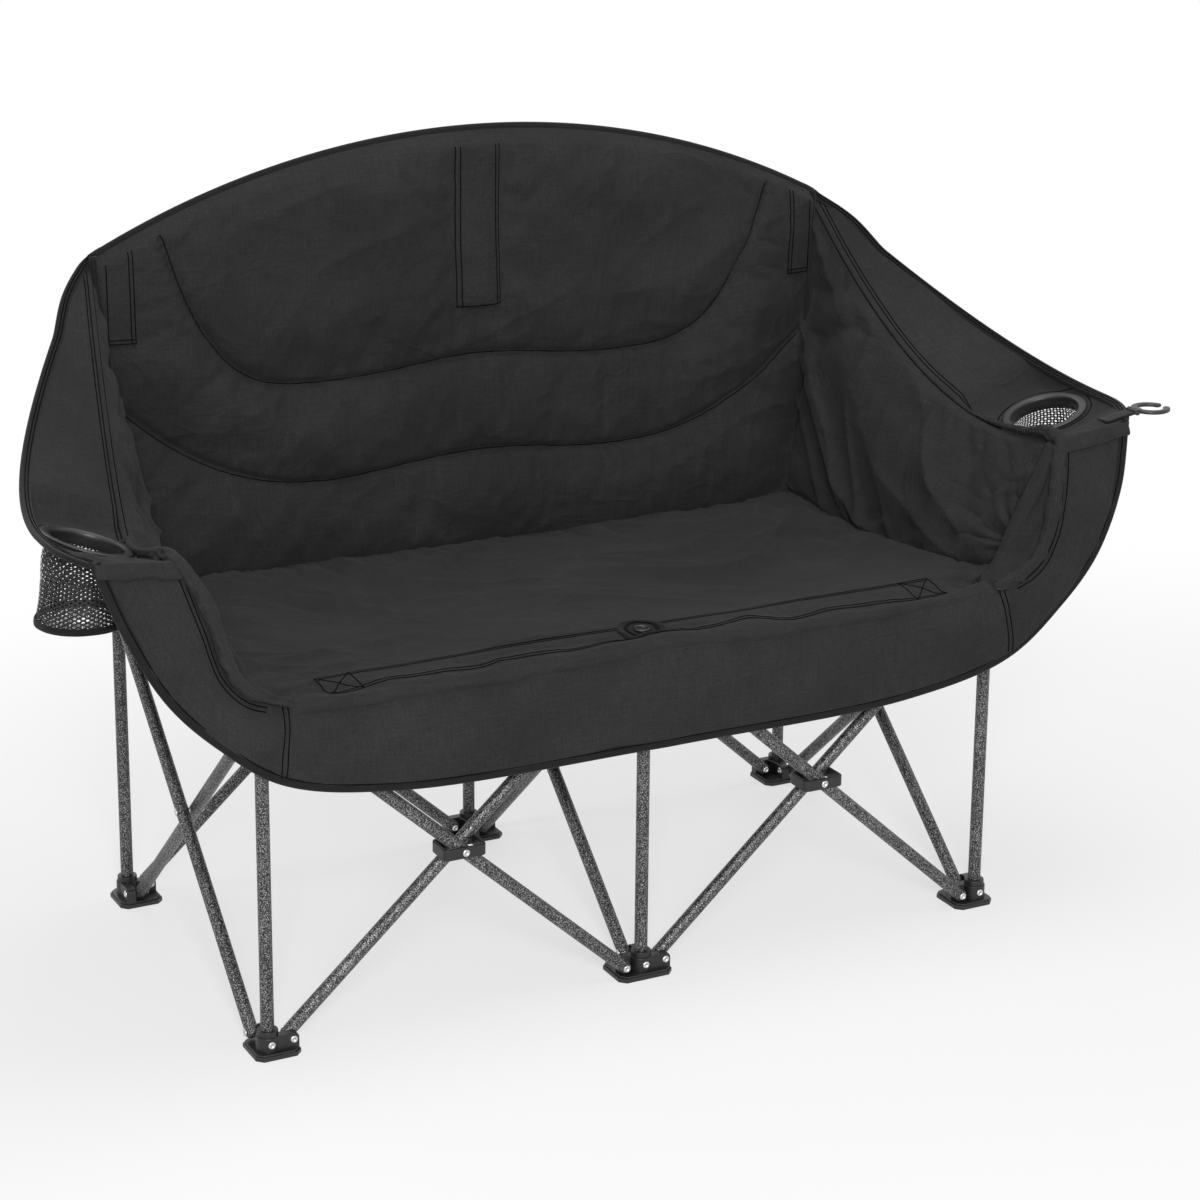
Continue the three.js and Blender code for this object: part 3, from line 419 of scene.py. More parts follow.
def softNoise(x, y, seed=0):
    # smooth value noise from 0 to 1, one cell per unit
    x = np.asarray(x, float) + seed * 17.31
    y = np.asarray(y, float) + seed * 9.77
    ix, iy = np.floor(x).astype(int), np.floor(y).astype(int)
    fx, fy = x - ix, y - iy
    fx, fy = fx * fx * (3 - 2 * fx), fy * fy * (3 - 2 * fy)

    def at(i, j):
        return randomTable[(ix + i) % 256, (iy + j) % 256]

    return lerp(lerp(at(0, 0), at(1, 0), fx), lerp(at(0, 1), at(1, 1), fx), fy)


def folds(x, y, angle, length, width, seed):
    # long soft creases that run along angle, from 0 in the hollows to 1 on the crests
    along = (x * math.cos(angle) + y * math.sin(angle)) / length
    across = (-x * math.sin(angle) + y * math.cos(angle)) / width
    bend = softNoise(along * 1.3, across * 0.4, seed + 3) * 1.6
    first = softNoise(along, across + bend, seed)
    return 1 - np.abs(2 * first - 1)


simSet = {"frames": 22, "stiff": 12.0, "quality": 6, "mass": 0.25, "bending": 0.35}


def settle(piece, outerHeld, push, grow, limit):
    # swells a padded piece as cloth: held points stay, pressure pushes along the face normals
    # the inner face is held all over
    held = np.concatenate([outerHeld.ravel(), np.ones(outerHeld.size)])
    group = piece.vertex_groups.new(name="held")
    for weight in np.unique(held):
        if weight > 0:
            group.add(np.flatnonzero(held == weight).tolist(), float(weight), "REPLACE")
    before = pointsOf(piece)
    cloth = piece.modifiers.new("cloth", "CLOTH")
    settings = cloth.settings
    settings.quality = simSet["quality"]
    settings.mass = simSet["mass"]
    settings.tension_stiffness = settings.compression_stiffness = simSet["stiff"]
    settings.shear_stiffness = simSet["stiff"] * 0.5
    settings.bending_stiffness = simSet["bending"]
    settings.use_pressure = True
    settings.uniform_pressure_force = push
    settings.shrink_min = -grow
    settings.vertex_group_mass = "held"
    settings.effector_weights.gravity = 0.0
    cloth.collision_settings.use_collision = False
    cloth.point_cache.frame_start = 1
    cloth.point_cache.frame_end = simSet["frames"]
    scene = bpy.context.scene
    for step in range(1, simSet["frames"] + 1):
        scene.frame_set(step)
    graph = bpy.context.evaluated_depsgraph_get()
    moved = piece.evaluated_get(graph)
    after = np.empty(len(before) * 3)
    moved.data.vertices.foreach_get("co", after)
    shift = after.reshape(-1, 3) * 1000 - before
    length = np.linalg.norm(shift, axis=1, keepdims=True)
    shift *= np.minimum(1, limit / np.maximum(length, 1e-6))
    piece.modifiers.clear()
    piece.vertex_groups.clear()
    scene.frame_set(1)
    putPoints(piece, before + shift)
    print("settled", piece.name, "most movement", round(float(np.minimum(length, limit).max()), 1), "mm")


# repeated parts: rivets and stitches are placed by Geometry Nodes
def repeatTree(name, master, material, alongCurve):
    tree = bpy.data.node_groups.new(name, "GeometryNodeTree")
    face = tree.interface
    face.new_socket("Geometry", in_out="INPUT", socket_type="NodeSocketGeometry")
    size = face.new_socket("Size", in_out="INPUT", socket_type="NodeSocketFloat")
    spacing = face.new_socket("Spacing", in_out="INPUT", socket_type="NodeSocketFloat")
    face.new_socket("Geometry", in_out="OUTPUT", socket_type="NodeSocketGeometry")

    def add(kind, settings=None, inputs=None):
        made = tree.nodes.new(kind)
        for key, value in (settings or {}).items():
            setattr(made, key, value)
        for key, value in (inputs or {}).items():
            if isinstance(value, bpy.types.NodeSocket):
                tree.links.new(value, made.inputs[key])
            else:
                made.inputs[key].default_value = value
        return made

    source = add("NodeGroupInput")
    lift = add("GeometryNodeInputNamedAttribute", {"data_type": "FLOAT_VECTOR"}, {"Name": "lift"})
    head = add("GeometryNodeObjectInfo", {"transform_space": "ORIGINAL"}, {"Object": master})
    upright = add("FunctionNodeAlignRotationToVector", {"axis": "Z"}, {"Vector": lift.outputs[0]})
    points = source.outputs["Geometry"]
    turn = upright.outputs[0]
    if alongCurve:
        curve = add("GeometryNodeMeshToCurve", None, {"Mesh": points})
        even = add("GeometryNodeResampleCurve", {"mode": "LENGTH"},
                   {"Curve": curve.outputs[0], "Length": source.outputs["Spacing"]})
        points = even.outputs[0]
        tangent = add("GeometryNodeInputTangent")
        laid = add("FunctionNodeAlignRotationToVector", {"axis": "X", "pivot_axis": "Z"},
                   {"Rotation": turn, "Vector": tangent.outputs[0]})
        turn = laid.outputs[0]
    made = add("GeometryNodeInstanceOnPoints", None, {
        "Points": points, "Instance": head.outputs["Geometry"], "Rotation": turn, "Scale": source.outputs["Size"]})
    if alongCurve:
        # the dark line between the stitches, in the thread's black: painted shade standing in for the pulled-in groove
        # of the seam
        section = add("GeometryNodeCurvePrimitiveCircle", {"mode": "RADIUS"}, {"Resolution": 5, "Radius": 0.00075})
        row = add("GeometryNodeCurveToMesh", None, {
            "Curve": curve.outputs[0], "Profile Curve": section.outputs[0], "Fill Caps": True})
        joined = add("GeometryNodeJoinGeometry")
        for part in (made, row):
            tree.links.new(part.outputs[0], joined.inputs[0])
        made = joined
    real = add("GeometryNodeRealizeInstances", None, {"Geometry": made.outputs[0]})
    painted = add("GeometryNodeSetMaterial", None, {"Geometry": real.outputs[0], "Material": material})
    sink = add("NodeGroupOutput")
    tree.links.new(painted.outputs[0], sink.inputs[0])
    return tree, size.identifier, spacing.identifier


def repeatOn(name, tree, places, lifts, edges, size, spacing):
    group, sizeKey, spacingKey = tree
    mesh = bpy.data.meshes.new(name)
    mesh.from_pydata((np.asarray(places, float) * 0.001).tolist(), edges, [])
    layer = mesh.attributes.new("lift", "FLOAT_VECTOR", "POINT")
    layer.data.foreach_set("vector", np.asarray(lifts, float).ravel())
    piece = linked(bpy.data.objects.new(name, mesh))
    nodes = piece.modifiers.new("repeat", "NODES")
    nodes.node_group = group
    nodes[sizeKey] = size
    nodes[spacingKey] = spacing
    plain(piece)
    piece.data.polygons.foreach_set("use_smooth", [True] * len(piece.data.polygons))
    return piece


def turnedProfile(profile, sides):
    # points and faces of a profile of (radius, height) turned about Z, closed on the axis at both ends
    places = [(0, 0, profile[0][1])]
    faces = []
    for radius, height in profile[1:-1]:
        for k in range(sides):
            angle = 2 * math.pi * k / sides
            places.append((radius * math.cos(angle), radius * math.sin(angle), height))
    places.append((0, 0, profile[-1][1]))
    rings = len(profile) - 2
    for k in range(sides):
        following = (k + 1) % sides
        faces.append((0, 1 + following, 1 + k))
        faces.append((1 + (rings - 1) * sides + k, 1 + (rings - 1) * sides + following, len(places) - 1))
    faces += gridFaces(rings, sides, 1, wrap=True)
    return places, faces


def masterObject(name, places, faces, material):
    made = meshObject(name, places, faces, material)
    made.hide_render = made.hide_viewport = True
    bpy.context.scene.collection.objects.unlink(made)
    return made


rivetProfile = [(0, 0), (4.5, 0), (4.7, 0.35), (4.5, 0.95), (3.6, 1.55), (2.7, 1.75), (2.1, 1.45),
                (1.7, 0.6), (0, 0.45)]
rivetMaster = masterObject("rivetMaster", *turnedProfile(rivetProfile, 20), zinc)
rivetTree = repeatTree("rivetsOnPoints", rivetMaster, zinc, False)
stitchProfile = [(0, -0.5), (0.2, -0.4), (0.3, 0), (0.2, 0.4), (0, 0.5)]
stitchPlaces, stitchFaces = turnedProfile(stitchProfile, 6)
stitchPlaces = [(z, y, -x * 0.8) for x, y, z in stitchPlaces]
stitchMaster = masterObject("stitchMaster", stitchPlaces, stitchFaces, threadBlack)
stitchTree = repeatTree("stitchesOnSeams", stitchMaster, threadBlack, True)

# frame of tubes
frameSet = {"bay": 490.0, "tube": 8.0, "rod": 6.4, "reach": 28.0, "footZ": 18.0, "hubZ": 406.0, "offset": 8.5,
            "overhang": 7.0, "sides": 28, "armOut": 8.0, "armTopOut": 95.0, "armTopZ": 597.0, "armPivotZ": 430.0,
            "cornerTop": 837.0, "centreTop": 954.0, "frontTop": 388.0, "postFoot": 7.3, "rodLow": 143.5,
            "rodHigh": 409.5, "crossZ": 212.0, "pin": 2.9, "pinHalf": 16.6}
bay = frameSet["bay"]
riveted = {}


def rivetAt(body, place, lift):
    riveted.setdefault(body, []).append((tuple(place), tuple(lift)))


def tube(name, start, end, radius, material, nose=0.0):
    # a round tube whose ends close in a short rounded nose, or flat with an eased edge
    start, end = Vector(start), Vector(end)
    way = (end - start).normalized()
    side = way.cross(Vector((0, 0, 1)) if abs(way.z) < 0.9 else Vector((0, 1, 0))).normalized()
    other = way.cross(side)
    length = (end - start).length
    if nose:
        tip = [(nose * s, radius * (1 - (1 - s) ** 3) ** (1 / 3)) for s in np.linspace(0, 1, 7)[1:]]
    else:
        tip = [(0.0, radius - 0.7), (0.25, radius - 0.25), (0.8, radius)]
    middle = [(length * share, radius) for share in np.linspace(0.04, 0.96, 12)]
    profile = tip + middle + [(length - s, r) for s, r in tip[::-1]]
    sides = frameSet["sides"]
    places, uv = [tuple(start)], [(0, 0)]
    for s, r in profile:
        for k in range(sides):
            angle = 2 * math.pi * k / sides
            spoke = side * (r * math.cos(angle)) + other * (r * math.sin(angle))
            places.append(tuple(start + way * s + spoke))
            uv.append((s, angle * radius))
    places.append(tuple(end))
    uv.append((length, 0))
    faces = gridFaces(len(profile), sides, 1, wrap=True)
    last = 1 + (len(profile) - 1) * sides
    for k in range(sides):
        following = (k + 1) % sides
        faces.append((0, 1 + following, 1 + k))
        faces.append((last + k, last + following, len(places) - 1))
    return upFacing(meshObject(name, places, faces, material, uv))


def upFacing(piece):
    # turns all faces outward
    shape = bmesh.new()
    shape.from_mesh(piece.data)
    bmesh.ops.recalc_face_normals(shape, faces=shape.faces)
    shape.to_mesh(piece.data)
    shape.free()
    return piece


def standsFor(piece, node):
    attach(piece, bodyOfNode[node])
    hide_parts(node)


def goesWith(piece, body):
    # a piece of the scene alone
    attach(piece, body)


def prism(outline, low, high):
    # closed block over a flat outline of (x, y)
    count = len(outline)
    places = [(x, y, low) for x, y in outline] + [(x, y, high) for x, y in outline]
    faces = [tuple(range(count))[::-1], tuple(range(count, 2 * count))]
    faces += [(i, (i + 1) % count, count + (i + 1) % count, count + i) for i in range(count)]
    return places, faces


def turnedAbout(places, angle, shift=(0, 0, 0)):
    c, s = math.cos(angle), math.sin(angle)
    return [(x * c - y * s + shift[0], x * s + y * c + shift[1], z + shift[2]) for x, y, z in places]


def roundedOutline(low, high, corners, steps=5):
    # a box outline with its own radius at each corner, counted from the low, low one anticlockwise
    (x0, y0), (x1, y1) = low, high
    spots = [(x0, y0, 1, 1, math.pi), (x1, y0, -1, 1, 1.5 * math.pi), (x1, y1, -1, -1, 0),
             (x0, y1, 1, -1, 0.5 * math.pi)]
    outline = []
    for (x, y, sx, sy, start), radius in zip(spots, corners):
        if radius == 0:
            outline.append((x, y))
            continue
        for k in range(steps + 1):
            angle = start + 0.5 * math.pi * k / steps
            outline.append((x + sx * radius + radius * math.cos(angle),
                            y + sy * radius + radius * math.sin(angle)))
    return outline


def moulding(name, blocks, material, ease=1.2):
    # several closed blocks in one piece, with eased edges
    places, faces = [], []
    for blockPlaces, blockFaces in blocks:
        start = len(places)
        places += blockPlaces
        faces += [tuple(start + k for k in face) for face in blockFaces]
    made = upFacing(meshObject(name, places, faces, material, smooth=True))
    bevel = made.modifiers.new("eased", "BEVEL")
    bevel.width = ease * 0.001
    bevel.segments = 2
    bevel.limit_method = "ANGLE"
    bevel.angle_limit = math.radians(40)
    bevel.harden_normals = True
    plain(made)
    return made


stations = {}
for row, y in (("front", 0.0), ("back", bay)):
    for side, x in (("left", -bay), ("centre", 0.0), ("right", bay)):
        stations[f"{row}_{side}"] = (x, y)


def armsOf(station):
    # (turn, way) of each lug: the pair's line is turned about Z, and the lug points along it or back
    x, y = stations[station]
    found = [(0.0, way) for way in (1, -1) if way * x < bay]
    return found + [(0.5 * math.pi, 1 if y == 0 else -1)]


jointSet = {"thick": 12.0, "margin": 7.0, "footBoss": 12.5, "footHigh": 32.0, "plate": 5.5, "plateHalf": 20.0,
            "chamfer": 8.0, "hubBoss": 13.5, "hubTop": 416.0, "hubLow": 390.0, "head": 16.4, "screwOut": 13.6,
            "screwZ": 16.5, "earNear": 8.5, "earFar": 12.5, "earLow": 408.0, "earTop": 440.0, "earHalf": 10.0,
            "earRound": 9.0}


def armBlock(turn, way, low, high, tubeSide, rounded):
    # a rounded lug of a foot or hub, on the other side of the pair's line from its tube
    far = way * (frameSet["reach"] + jointSet["margin"])
    radii = {1: (0, rounded[0], rounded[1], 0), -1: (rounded[0], 0, 0, rounded[1])}[way]
    outline = roundedOutline((min(0, far), low), (max(0, far), high), radii)
    near = -jointSet["thick"] if tubeSide > 0 else 0
    places, faces = prism(outline, near, near + jointSet["thick"])
    return turnedAbout([(x, z, y) for x, y, z in places], turn), faces


def roundBlock(radius, low, high, sides=32):
    angles = [2 * math.pi * k / sides for k in range(sides)]
    return prism([(radius * math.cos(angle), radius * math.sin(angle)) for angle in angles], low, high)


def placed(block, shift):
    places, faces = block
    return [(x + shift[0], y + shift[1], z + shift[2]) for x, y, z in places], faces


def jointRivets(station, pivotZ, isHub):
    # heads on the lug's plain face and on the far side of its tube
    body = bodyOfNode[f"{station}_{'hub' if isHub else 'foot'}"]
    x0, y0 = stations[station]
    for turn, way in armsOf(station):
        tubeSide = -way if isHub else way
        line = Vector((-math.sin(turn), math.cos(turn), 0)) * tubeSide
        along = Vector((math.cos(turn), math.sin(turn), 0)) * way * frameSet["reach"]
        middle = Vector((x0, y0, pivotZ)) + along
        rivetAt(body, middle + line * jointSet["head"], line)
        rivetAt(body, middle - line * jointSet["thick"], -line)


for station, (x, y) in stations.items():
    arms = armsOf(station)
    reach = frameSet["reach"] + jointSet["margin"] + 2
    half = jointSet["plateHalf"]
    left = -reach if (0.0, -1) in arms else -half
    right = reach if (0.0, 1) in arms else half
    front = -reach if y > 0 else -half
    back = reach if y == 0 else half
    c = jointSet["chamfer"]
    plate = [(left + c, front), (right - c, front), (right, front + c), (right, back - c), (right - c, back),
             (left + c, back), (left, back - c), (left, front + c)]
    inset = [(px * 0.93, py * 0.93) for px, py in plate]
    blocks = [prism(plate, 0, jointSet["plate"]), prism(inset, jointSet["plate"] - 1, jointSet["plate"] + 2.2),
              roundBlock(jointSet["footBoss"], 4, jointSet["footHigh"]),
              roundBlock(jointSet["footBoss"] + 1.6, 4, 25)]
    for turn, way in arms:
        blocks.append(armBlock(turn, way, 4, frameSet["footZ"] + 7.5, way, (0, 6)))
    foot = moulding(f"{station}_foot_moulding", [placed(block, (x, y, 0)) for block in blocks], plasticBlack, 1.0)
    standsFor(foot, f"{station}_foot")
    jointRivets(station, frameSet["footZ"], False)
    outward = -1 if y == 0 else 1
    screw = (x, y + outward * jointSet["screwOut"], jointSet["screwZ"])
    rivetAt(bodyOfNode[f"{station}_foot"], screw, (0, outward, 0))

    top = frameSet["frontTop"] if y == 0 else (frameSet["centreTop"] if x == 0 else frameSet["cornerTop"])
    post = tube(f"{station}_upright_tube", (x, y, frameSet["postFoot"]), (x, y, top), frameSet["tube"], hammertone)
    standsFor(post, f"{station}_upright")

    blocks = [roundBlock(jointSet["hubBoss"], jointSet["hubLow"], jointSet["hubTop"])]
    for turn, way in arms:
        blocks.append(armBlock(turn, way, frameSet["hubZ"] - 7, frameSet["hubZ"] + 7, -way, (6, 6)))
    if y == 0 and x != 0:
        side = 1 if x > 0 else -1
        for face in (-1, 1):
            near, far = sorted((face * jointSet["earNear"], face * jointSet["earFar"]))
            earX = side * frameSet["armOut"]
            ear = roundedOutline((earX - jointSet["earHalf"], jointSet["earLow"]),
                                 (earX + jointSet["earHalf"], jointSet["earTop"]),
                                 (0, 0) + (jointSet["earRound"],) * 2)
            places, faces = prism(ear, near, far)
            blocks.append(([(px, pz, py) for px, py, pz in places], faces))
            spot = (x + earX, y + face * jointSet["earFar"], frameSet["armPivotZ"])
            rivetAt(bodyOfNode[f"{station}_hub"], spot, (0, face, 0))
    hub = moulding(f"{station}_hub_moulding", [placed(block, (x, y, 0)) for block in blocks], plasticBlack, 1.0)
    standsFor(hub, f"{station}_hub")
    jointRivets(station, frameSet["hubZ"], True)
    if y == 0:
        rod = tube(f"{station}_rod", (x, y, frameSet["rodLow"]), (x, y, frameSet["rodHigh"]), frameSet["rod"],
                   rodSteel)
        standsFor(rod, f"{station}_inner_rod")
print("feet, hubs and uprights made")

# each crossed pair's first station, and whether it runs along Y
pairSet = {"front_left": (-bay, 0, False), "front_right": (0, 0, False), "back_left": (-bay, bay, False),
           "back_right": (0, bay, False), "left_side": (-bay, 0, True), "centre": (0, 0, True),
           "right_side": (bay, 0, True)}
bracketSet = {"length": 55.0, "wide": 40.2, "high": 14.0, "wall": 3.4, "corner": 7.0}


def bracketLoop(name, place, alongY):
    # an open moulded loop with rounded corners and eased rims
    half = (bracketSet["length"] / 2, bracketSet["wide"] / 2)
    corner, wall = bracketSet["corner"], bracketSet["wall"]
    outer = roundedOutline((-half[0], -half[1]), half, (corner,) * 4, 6)
    inner = roundedOutline((-half[0] + wall, -half[1] + wall), (half[0] - wall, half[1] - wall),
                           (corner - wall,) * 4, 6)
    count = len(outer)
    low, high = -bracketSet["high"] / 2, bracketSet["high"] / 2
    places = [(x, y, z) for z, ring in ((low, outer), (high, outer), (high, inner), (low, inner)) for x, y in ring]
    faces = []
    for ring in range(4):
        a, b = ring * count, ((ring + 1) % 4) * count
        faces += [(a + i, a + (i + 1) % count, b + (i + 1) % count, b + i) for i in range(count)]
    turned = turnedAbout(places, 0.5 * math.pi if alongY else 0, place)
    return moulding(name, [(turned, faces)], plasticBlack, 0.9)


for pair, (x, y, alongY) in pairSet.items():

    def spot(along, across, z):
        return (x - across, y + along, z) if alongY else (x + along, y + across, z)

    near, far = frameSet["reach"], bay - frameSet["reach"]
    rise = frameSet["hubZ"] - frameSet["footZ"]
    length = math.hypot(far - near, rise)
    cx, cz = (far - near) / length * frameSet["overhang"], rise / length * frameSet["overhang"]
    for word, offset, a, b in (("back" if alongY else "right", frameSet["offset"], near, far),
                               ("front" if alongY else "left", -frameSet["offset"], far, near)):
        sign = 1 if b > a else -1
        node = f"{pair}_cross_tube_to_{word}"
        start = spot(a - sign * cx, offset, frameSet["footZ"] - cz)
        end = spot(b + sign * cx, offset, frameSet["hubZ"] + cz)
        steel = tube(f"{node}_steel", start, end, frameSet["tube"], hammertone, nose=6.5)
        standsFor(steel, node)
    middle = spot(bay / 2, 0, frameSet["crossZ"])
    bare = pair.endswith("side")
    node = f"{pair}_crossing_{'rivet' if bare else 'bracket'}"
    out = jointSet["head"] if bare else bracketSet["wide"] / 2
    for sign in (1, -1):
        lift = Vector(spot(0, sign, 0)) - Vector(spot(0, 0, 0))
        rivetAt(bodyOfNode[node], Vector(middle) + lift * out, lift)
    if bare:
        half = lift * frameSet["pinHalf"]
        pin = tube(f"{pair}_crossing_pin", Vector(middle) - half, Vector(middle) + half, frameSet["pin"], zinc)
        standsFor(pin, node)
    else:
        standsFor(bracketLoop(f"{pair}_crossing_loop", middle, alongY), node)

for side, sign in (("left", -1), ("right", 1)):
    foot = Vector((sign * (bay + frameSet["armOut"]), 0, frameSet["armPivotZ"]))
    head = Vector((sign * (bay + frameSet["armTopOut"]), 0, frameSet["armTopZ"]))
    way = (head - foot).normalized()
    post = tube(f"{side}_arm_post_tube", foot - way * 7, head, frameSet["tube"], hammertone, nose=4.5)
    standsFor(post, f"{side}_arm_post")
print("cross tubes, brackets and arm posts made")

for body, spots in riveted.items():
    rivetPlaces, rivetLifts = zip(*spots)
    heads = repeatOn(f"{body}_rivets", rivetTree, rivetPlaces, rivetLifts, [], 1.0, 0.01)
    goesWith(heads, body)


# shape of the fabric tub, the same rules as the frame's solids
tubSet = {
    "backBottom": 419.0, "backTop": 973.0, "backCorner": 851.0, "backHalfTop": 511.0, "backHalfBottom": 487.0,
    "backFace": 462.0, "backRear": 481.0, "seatFront": -38.7, "seatRear": 459.1, "seatHalfFront": 476.0,
    "seatHalfBack": 486.6, "seatWideY": 24.0, "flare": 52.0, "underside": 418.0, "sag": 24.0,
    "cup": (648.0, 112.0, 608.0), "cupTilt": (0.32, 0.02)}
quiltSet = {
    "upper": {"centre": 681.0, "dip": 15.0, "dipAt": 190.0, "end": 867.0, "endAt": 430.0, "power": 4.0},
    "lower": {"centre": 551.0, "dip": 15.0, "dipAt": 215.0, "end": 655.0, "endAt": 490.0, "power": 2.2}}
archRise = tubSet["backTop"] - tubSet["backCorner"]
archRadius = (tubSet["backHalfTop"] ** 2 + archRise ** 2) / (2 * archRise)
cupX, cupY, cupZ = tubSet["cup"]
cupOut, cupBack = tubSet["cupTilt"]


def archTop(x):
    return tubSet["backTop"] - archRadius + np.sqrt(archRadius ** 2 - np.asarray(x, float) ** 2)


def quiltLine(name, x):
    line = quiltSet[name]
    far = np.abs(x)
    low = line["dip"] * (1 - np.cos(np.pi * np.minimum(far / line["dipAt"], 1))) / 2
    climb = np.maximum(0, (far - line["dipAt"]) / (line["endAt"] - line["dipAt"]))
    return line["centre"] - low + (line["end"] - line["centre"] + line["dip"]) * climb ** line["power"]


def seatHalf(y):
    y = np.asarray(y, float)
    half, flare, wideY = tubSet["seatHalfBack"], tubSet["flare"], tubSet["seatWideY"]
    flared = half + flare * np.clip((tubSet["seatRear"] - y) / 435.1, 0, None) ** 1.7
    narrow = lerp(tubSet["seatHalfFront"], half + flare, np.clip((y - wideY + 9) / 9, 0, 1))
    return np.where(y < wideY, narrow, flared)


def seatLow(x, y):
    x, y = np.asarray(x, float), np.asarray(y, float)
    across = np.minimum(np.abs(x) / seatHalf(y), 1)
    bayWave = np.abs(np.sin(np.pi * x / bay))
    deep = np.sin(np.pi * np.clip((y - 28) / 434, 0, 1))
    flare = np.clip((np.abs(x) - tubSet["seatHalfBack"]) / tubSet["flare"], 0, 1)
    sag = tubSet["sag"] * deep * (0.6 + 0.4 * bayWave) * (1 - 0.6 * across ** 6)
    return tubSet["underside"] - sag + 6 * flare


def foldEdge(y):
    # the line where the arm band folds outward from the side
    y = np.asarray(y, float)
    back = np.clip((y - 113) / 368, 0, 1)
    front = np.clip((113 - y) / 123, 0, 1)
    x = lerp(596, 512.1, back) - 14 * front ** 2
    z = lerp(592, 846, back ** 1.85) + 20 * front ** 2
    return np.stack([x, y, z], -1)


def armEdge(y):
    # the arm band's outer edge
    y = np.asarray(y, float)
    back = np.clip((y - 80) / 401, 0, 1)
    front = np.clip((80 - y) / 90, 0, 1)
    climb = np.clip((y - 60) / 421, 0, 1)
    shoulder = np.sin(np.pi * np.clip((486 - y) / 84, 0, 1)) ** 1.5
    x = lerp(713, 519, back ** 1.85) - 31 * front ** 3 + 5 * shoulder
    z = lerp(634, 848, climb ** 2) - 11 * front ** 2 + 6 * shoulder
    return np.stack([x, y, z], -1)


def armSurface(y, v):
    # from the fold (v 0) to the edge (v 1), level round the cup
    place = lerp(foldEdge(y), armEdge(y), np.asarray(v, float)[..., None])
    beyond = np.maximum(48 - y, y - 176)
    ease = (1 - smoothStep(beyond, 0, 34)) * smoothStep(v, 0, 0.10) * (1 - smoothStep(v, 0.93, 1.0))
    flat = cupZ + (place[..., 0] - cupX) * cupOut + (y - cupY) * cupBack
    place[..., 2] = lerp(place[..., 2], flat, ease)
    return place


def atTravel(spots, travel, points):
    # the points of a line at some distances along it
    return np.stack([np.interp(spots, travel, points[:, k]) for k in range(points.shape[1])], -1)


def splinePoints(points, count):
    # even points on a smooth curve through the given ones
    points = np.asarray(points, float)
    padded = np.concatenate([[2 * points[0] - points[1]], points, [2 * points[-1] - points[-2]]])
    fine = []
    for i in range(1, len(padded) - 2):
        p0, p1, p2, p3 = padded[i - 1:i + 3]
        t = np.linspace(0, 1, 40, endpoint=False)[:, None]
        fine.append(0.5 * (2 * p1 + (p2 - p0) * t + (2 * p0 - 5 * p1 + 4 * p2 - p3) * t ** 2
                           + (3 * p1 - p0 - 3 * p2 + p3) * t ** 3))
    fine = np.concatenate(fine + [padded[-2:-1]])
    travel = travelAlong(fine)
    return atTravel(np.linspace(0, travel[-1], count), travel, fine)


def pillow(share, power=0.6):
    return np.sin(np.pi * np.clip(share, 0, 1)) ** power


def surfaceOf(piece):
    return BVHTree.FromObject(piece, bpy.context.evaluated_depsgraph_get())


def onSurface(tree, points, lift=0.0, seen=None):
    # the nearest spots of a piece's surface, raised along its normals; seen is a direction that they face
    spots, normals = [], []
    for point in points:
        found = None
        if seen is not None:
            way = Vector(seen).normalized()
            found = tree.ray_cast(Vector(point) * 0.001 + way * 0.08, -way, 0.16)
            if found[0] is None:
                found = None
        if found is None:
            found = tree.find_nearest(Vector(point) * 0.001)
        spots.append(np.array(found[0]) * 1000 + np.array(found[1]) * lift)
        normals.append(np.array(found[1]))
    return np.array(spots), np.array(normals)


seams = {}


def seamOn(key, tree, points, lift=0.15, seen=None, spacing=2.0):
    # a row of stitches along points, laid on a surface
    points = np.asarray(points, float)
    travel = travelAlong(points)
    fine = atTravel(np.arange(0, travel[-1], spacing), travel, points)
    spots, normals = onSurface(tree, fine, lift, seen)
    seams.setdefault(key, []).append((spots, normals))


def sewSeams(key, name, length=3.0, gap=1.6):
    # each row also gets the dark line between its stitches, painted shade for the seam's groove
    places, lifts, edges = [], [], []
    for spots, normals in seams.pop(key):
        start = len(places)
        places += spots.tolist()
        lifts += normals.tolist()
        edges += [(start + k, start + k + 1) for k in range(len(spots) - 1)]
    return repeatOn(name, stitchTree, places, lifts, edges, length, (length + gap) * 0.001)


def taped(name, line, inward, normal, width, thick):
    # a folded binding over an edge: line is the edge, inward points into the cloth
    half = thick / 2
    outline = [(-abs(half * math.cos(t)), half * math.sin(t)) for t in np.linspace(-math.pi / 2, math.pi / 2, 7)]
    outline += [(width - 0.8, half), (width, half - 0.6), (width, -half + 0.6), (width - 0.8, -half)]
    grid = np.stack([line + inward * along + normal * height for along, height in outline], axis=1)
    rows, columns = grid.shape[:2]
    faces = gridFaces(rows, columns, wrap=True)
    faces.append(tuple(range(columns))[::-1])
    faces.append(tuple((rows - 1) * columns + k for k in range(columns)))
    uv = np.stack(np.meshgrid(travelAlong(line), travelAlong(outline), indexing="ij"), -1).reshape(-1, 2)
    return upFacing(meshObject(name, grid.reshape(-1, 3), faces, tapeBlack, uv))


# backrest
backSet = {"columns": 147, "rows": 84, "pad": 12.0, "groove": 7.5, "grooveHalf": 4.2, "pucker": 5.0,
           "puckerReach": 19.0, "sleeveHalf": 31.0, "sleeveFoot": 745.0, "bindY": 477.5, "bindWidth": 10.5,
           "bindThick": 8.0, "rearPocket": 20.0}


def backHalf(z):
    bottom, top = tubSet["backHalfBottom"], tubSet["backHalfTop"]
    rise = (z - tubSet["backBottom"]) / (tubSet["backCorner"] - tubSet["backBottom"])
    return np.clip(lerp(bottom, top, rise), bottom, top)


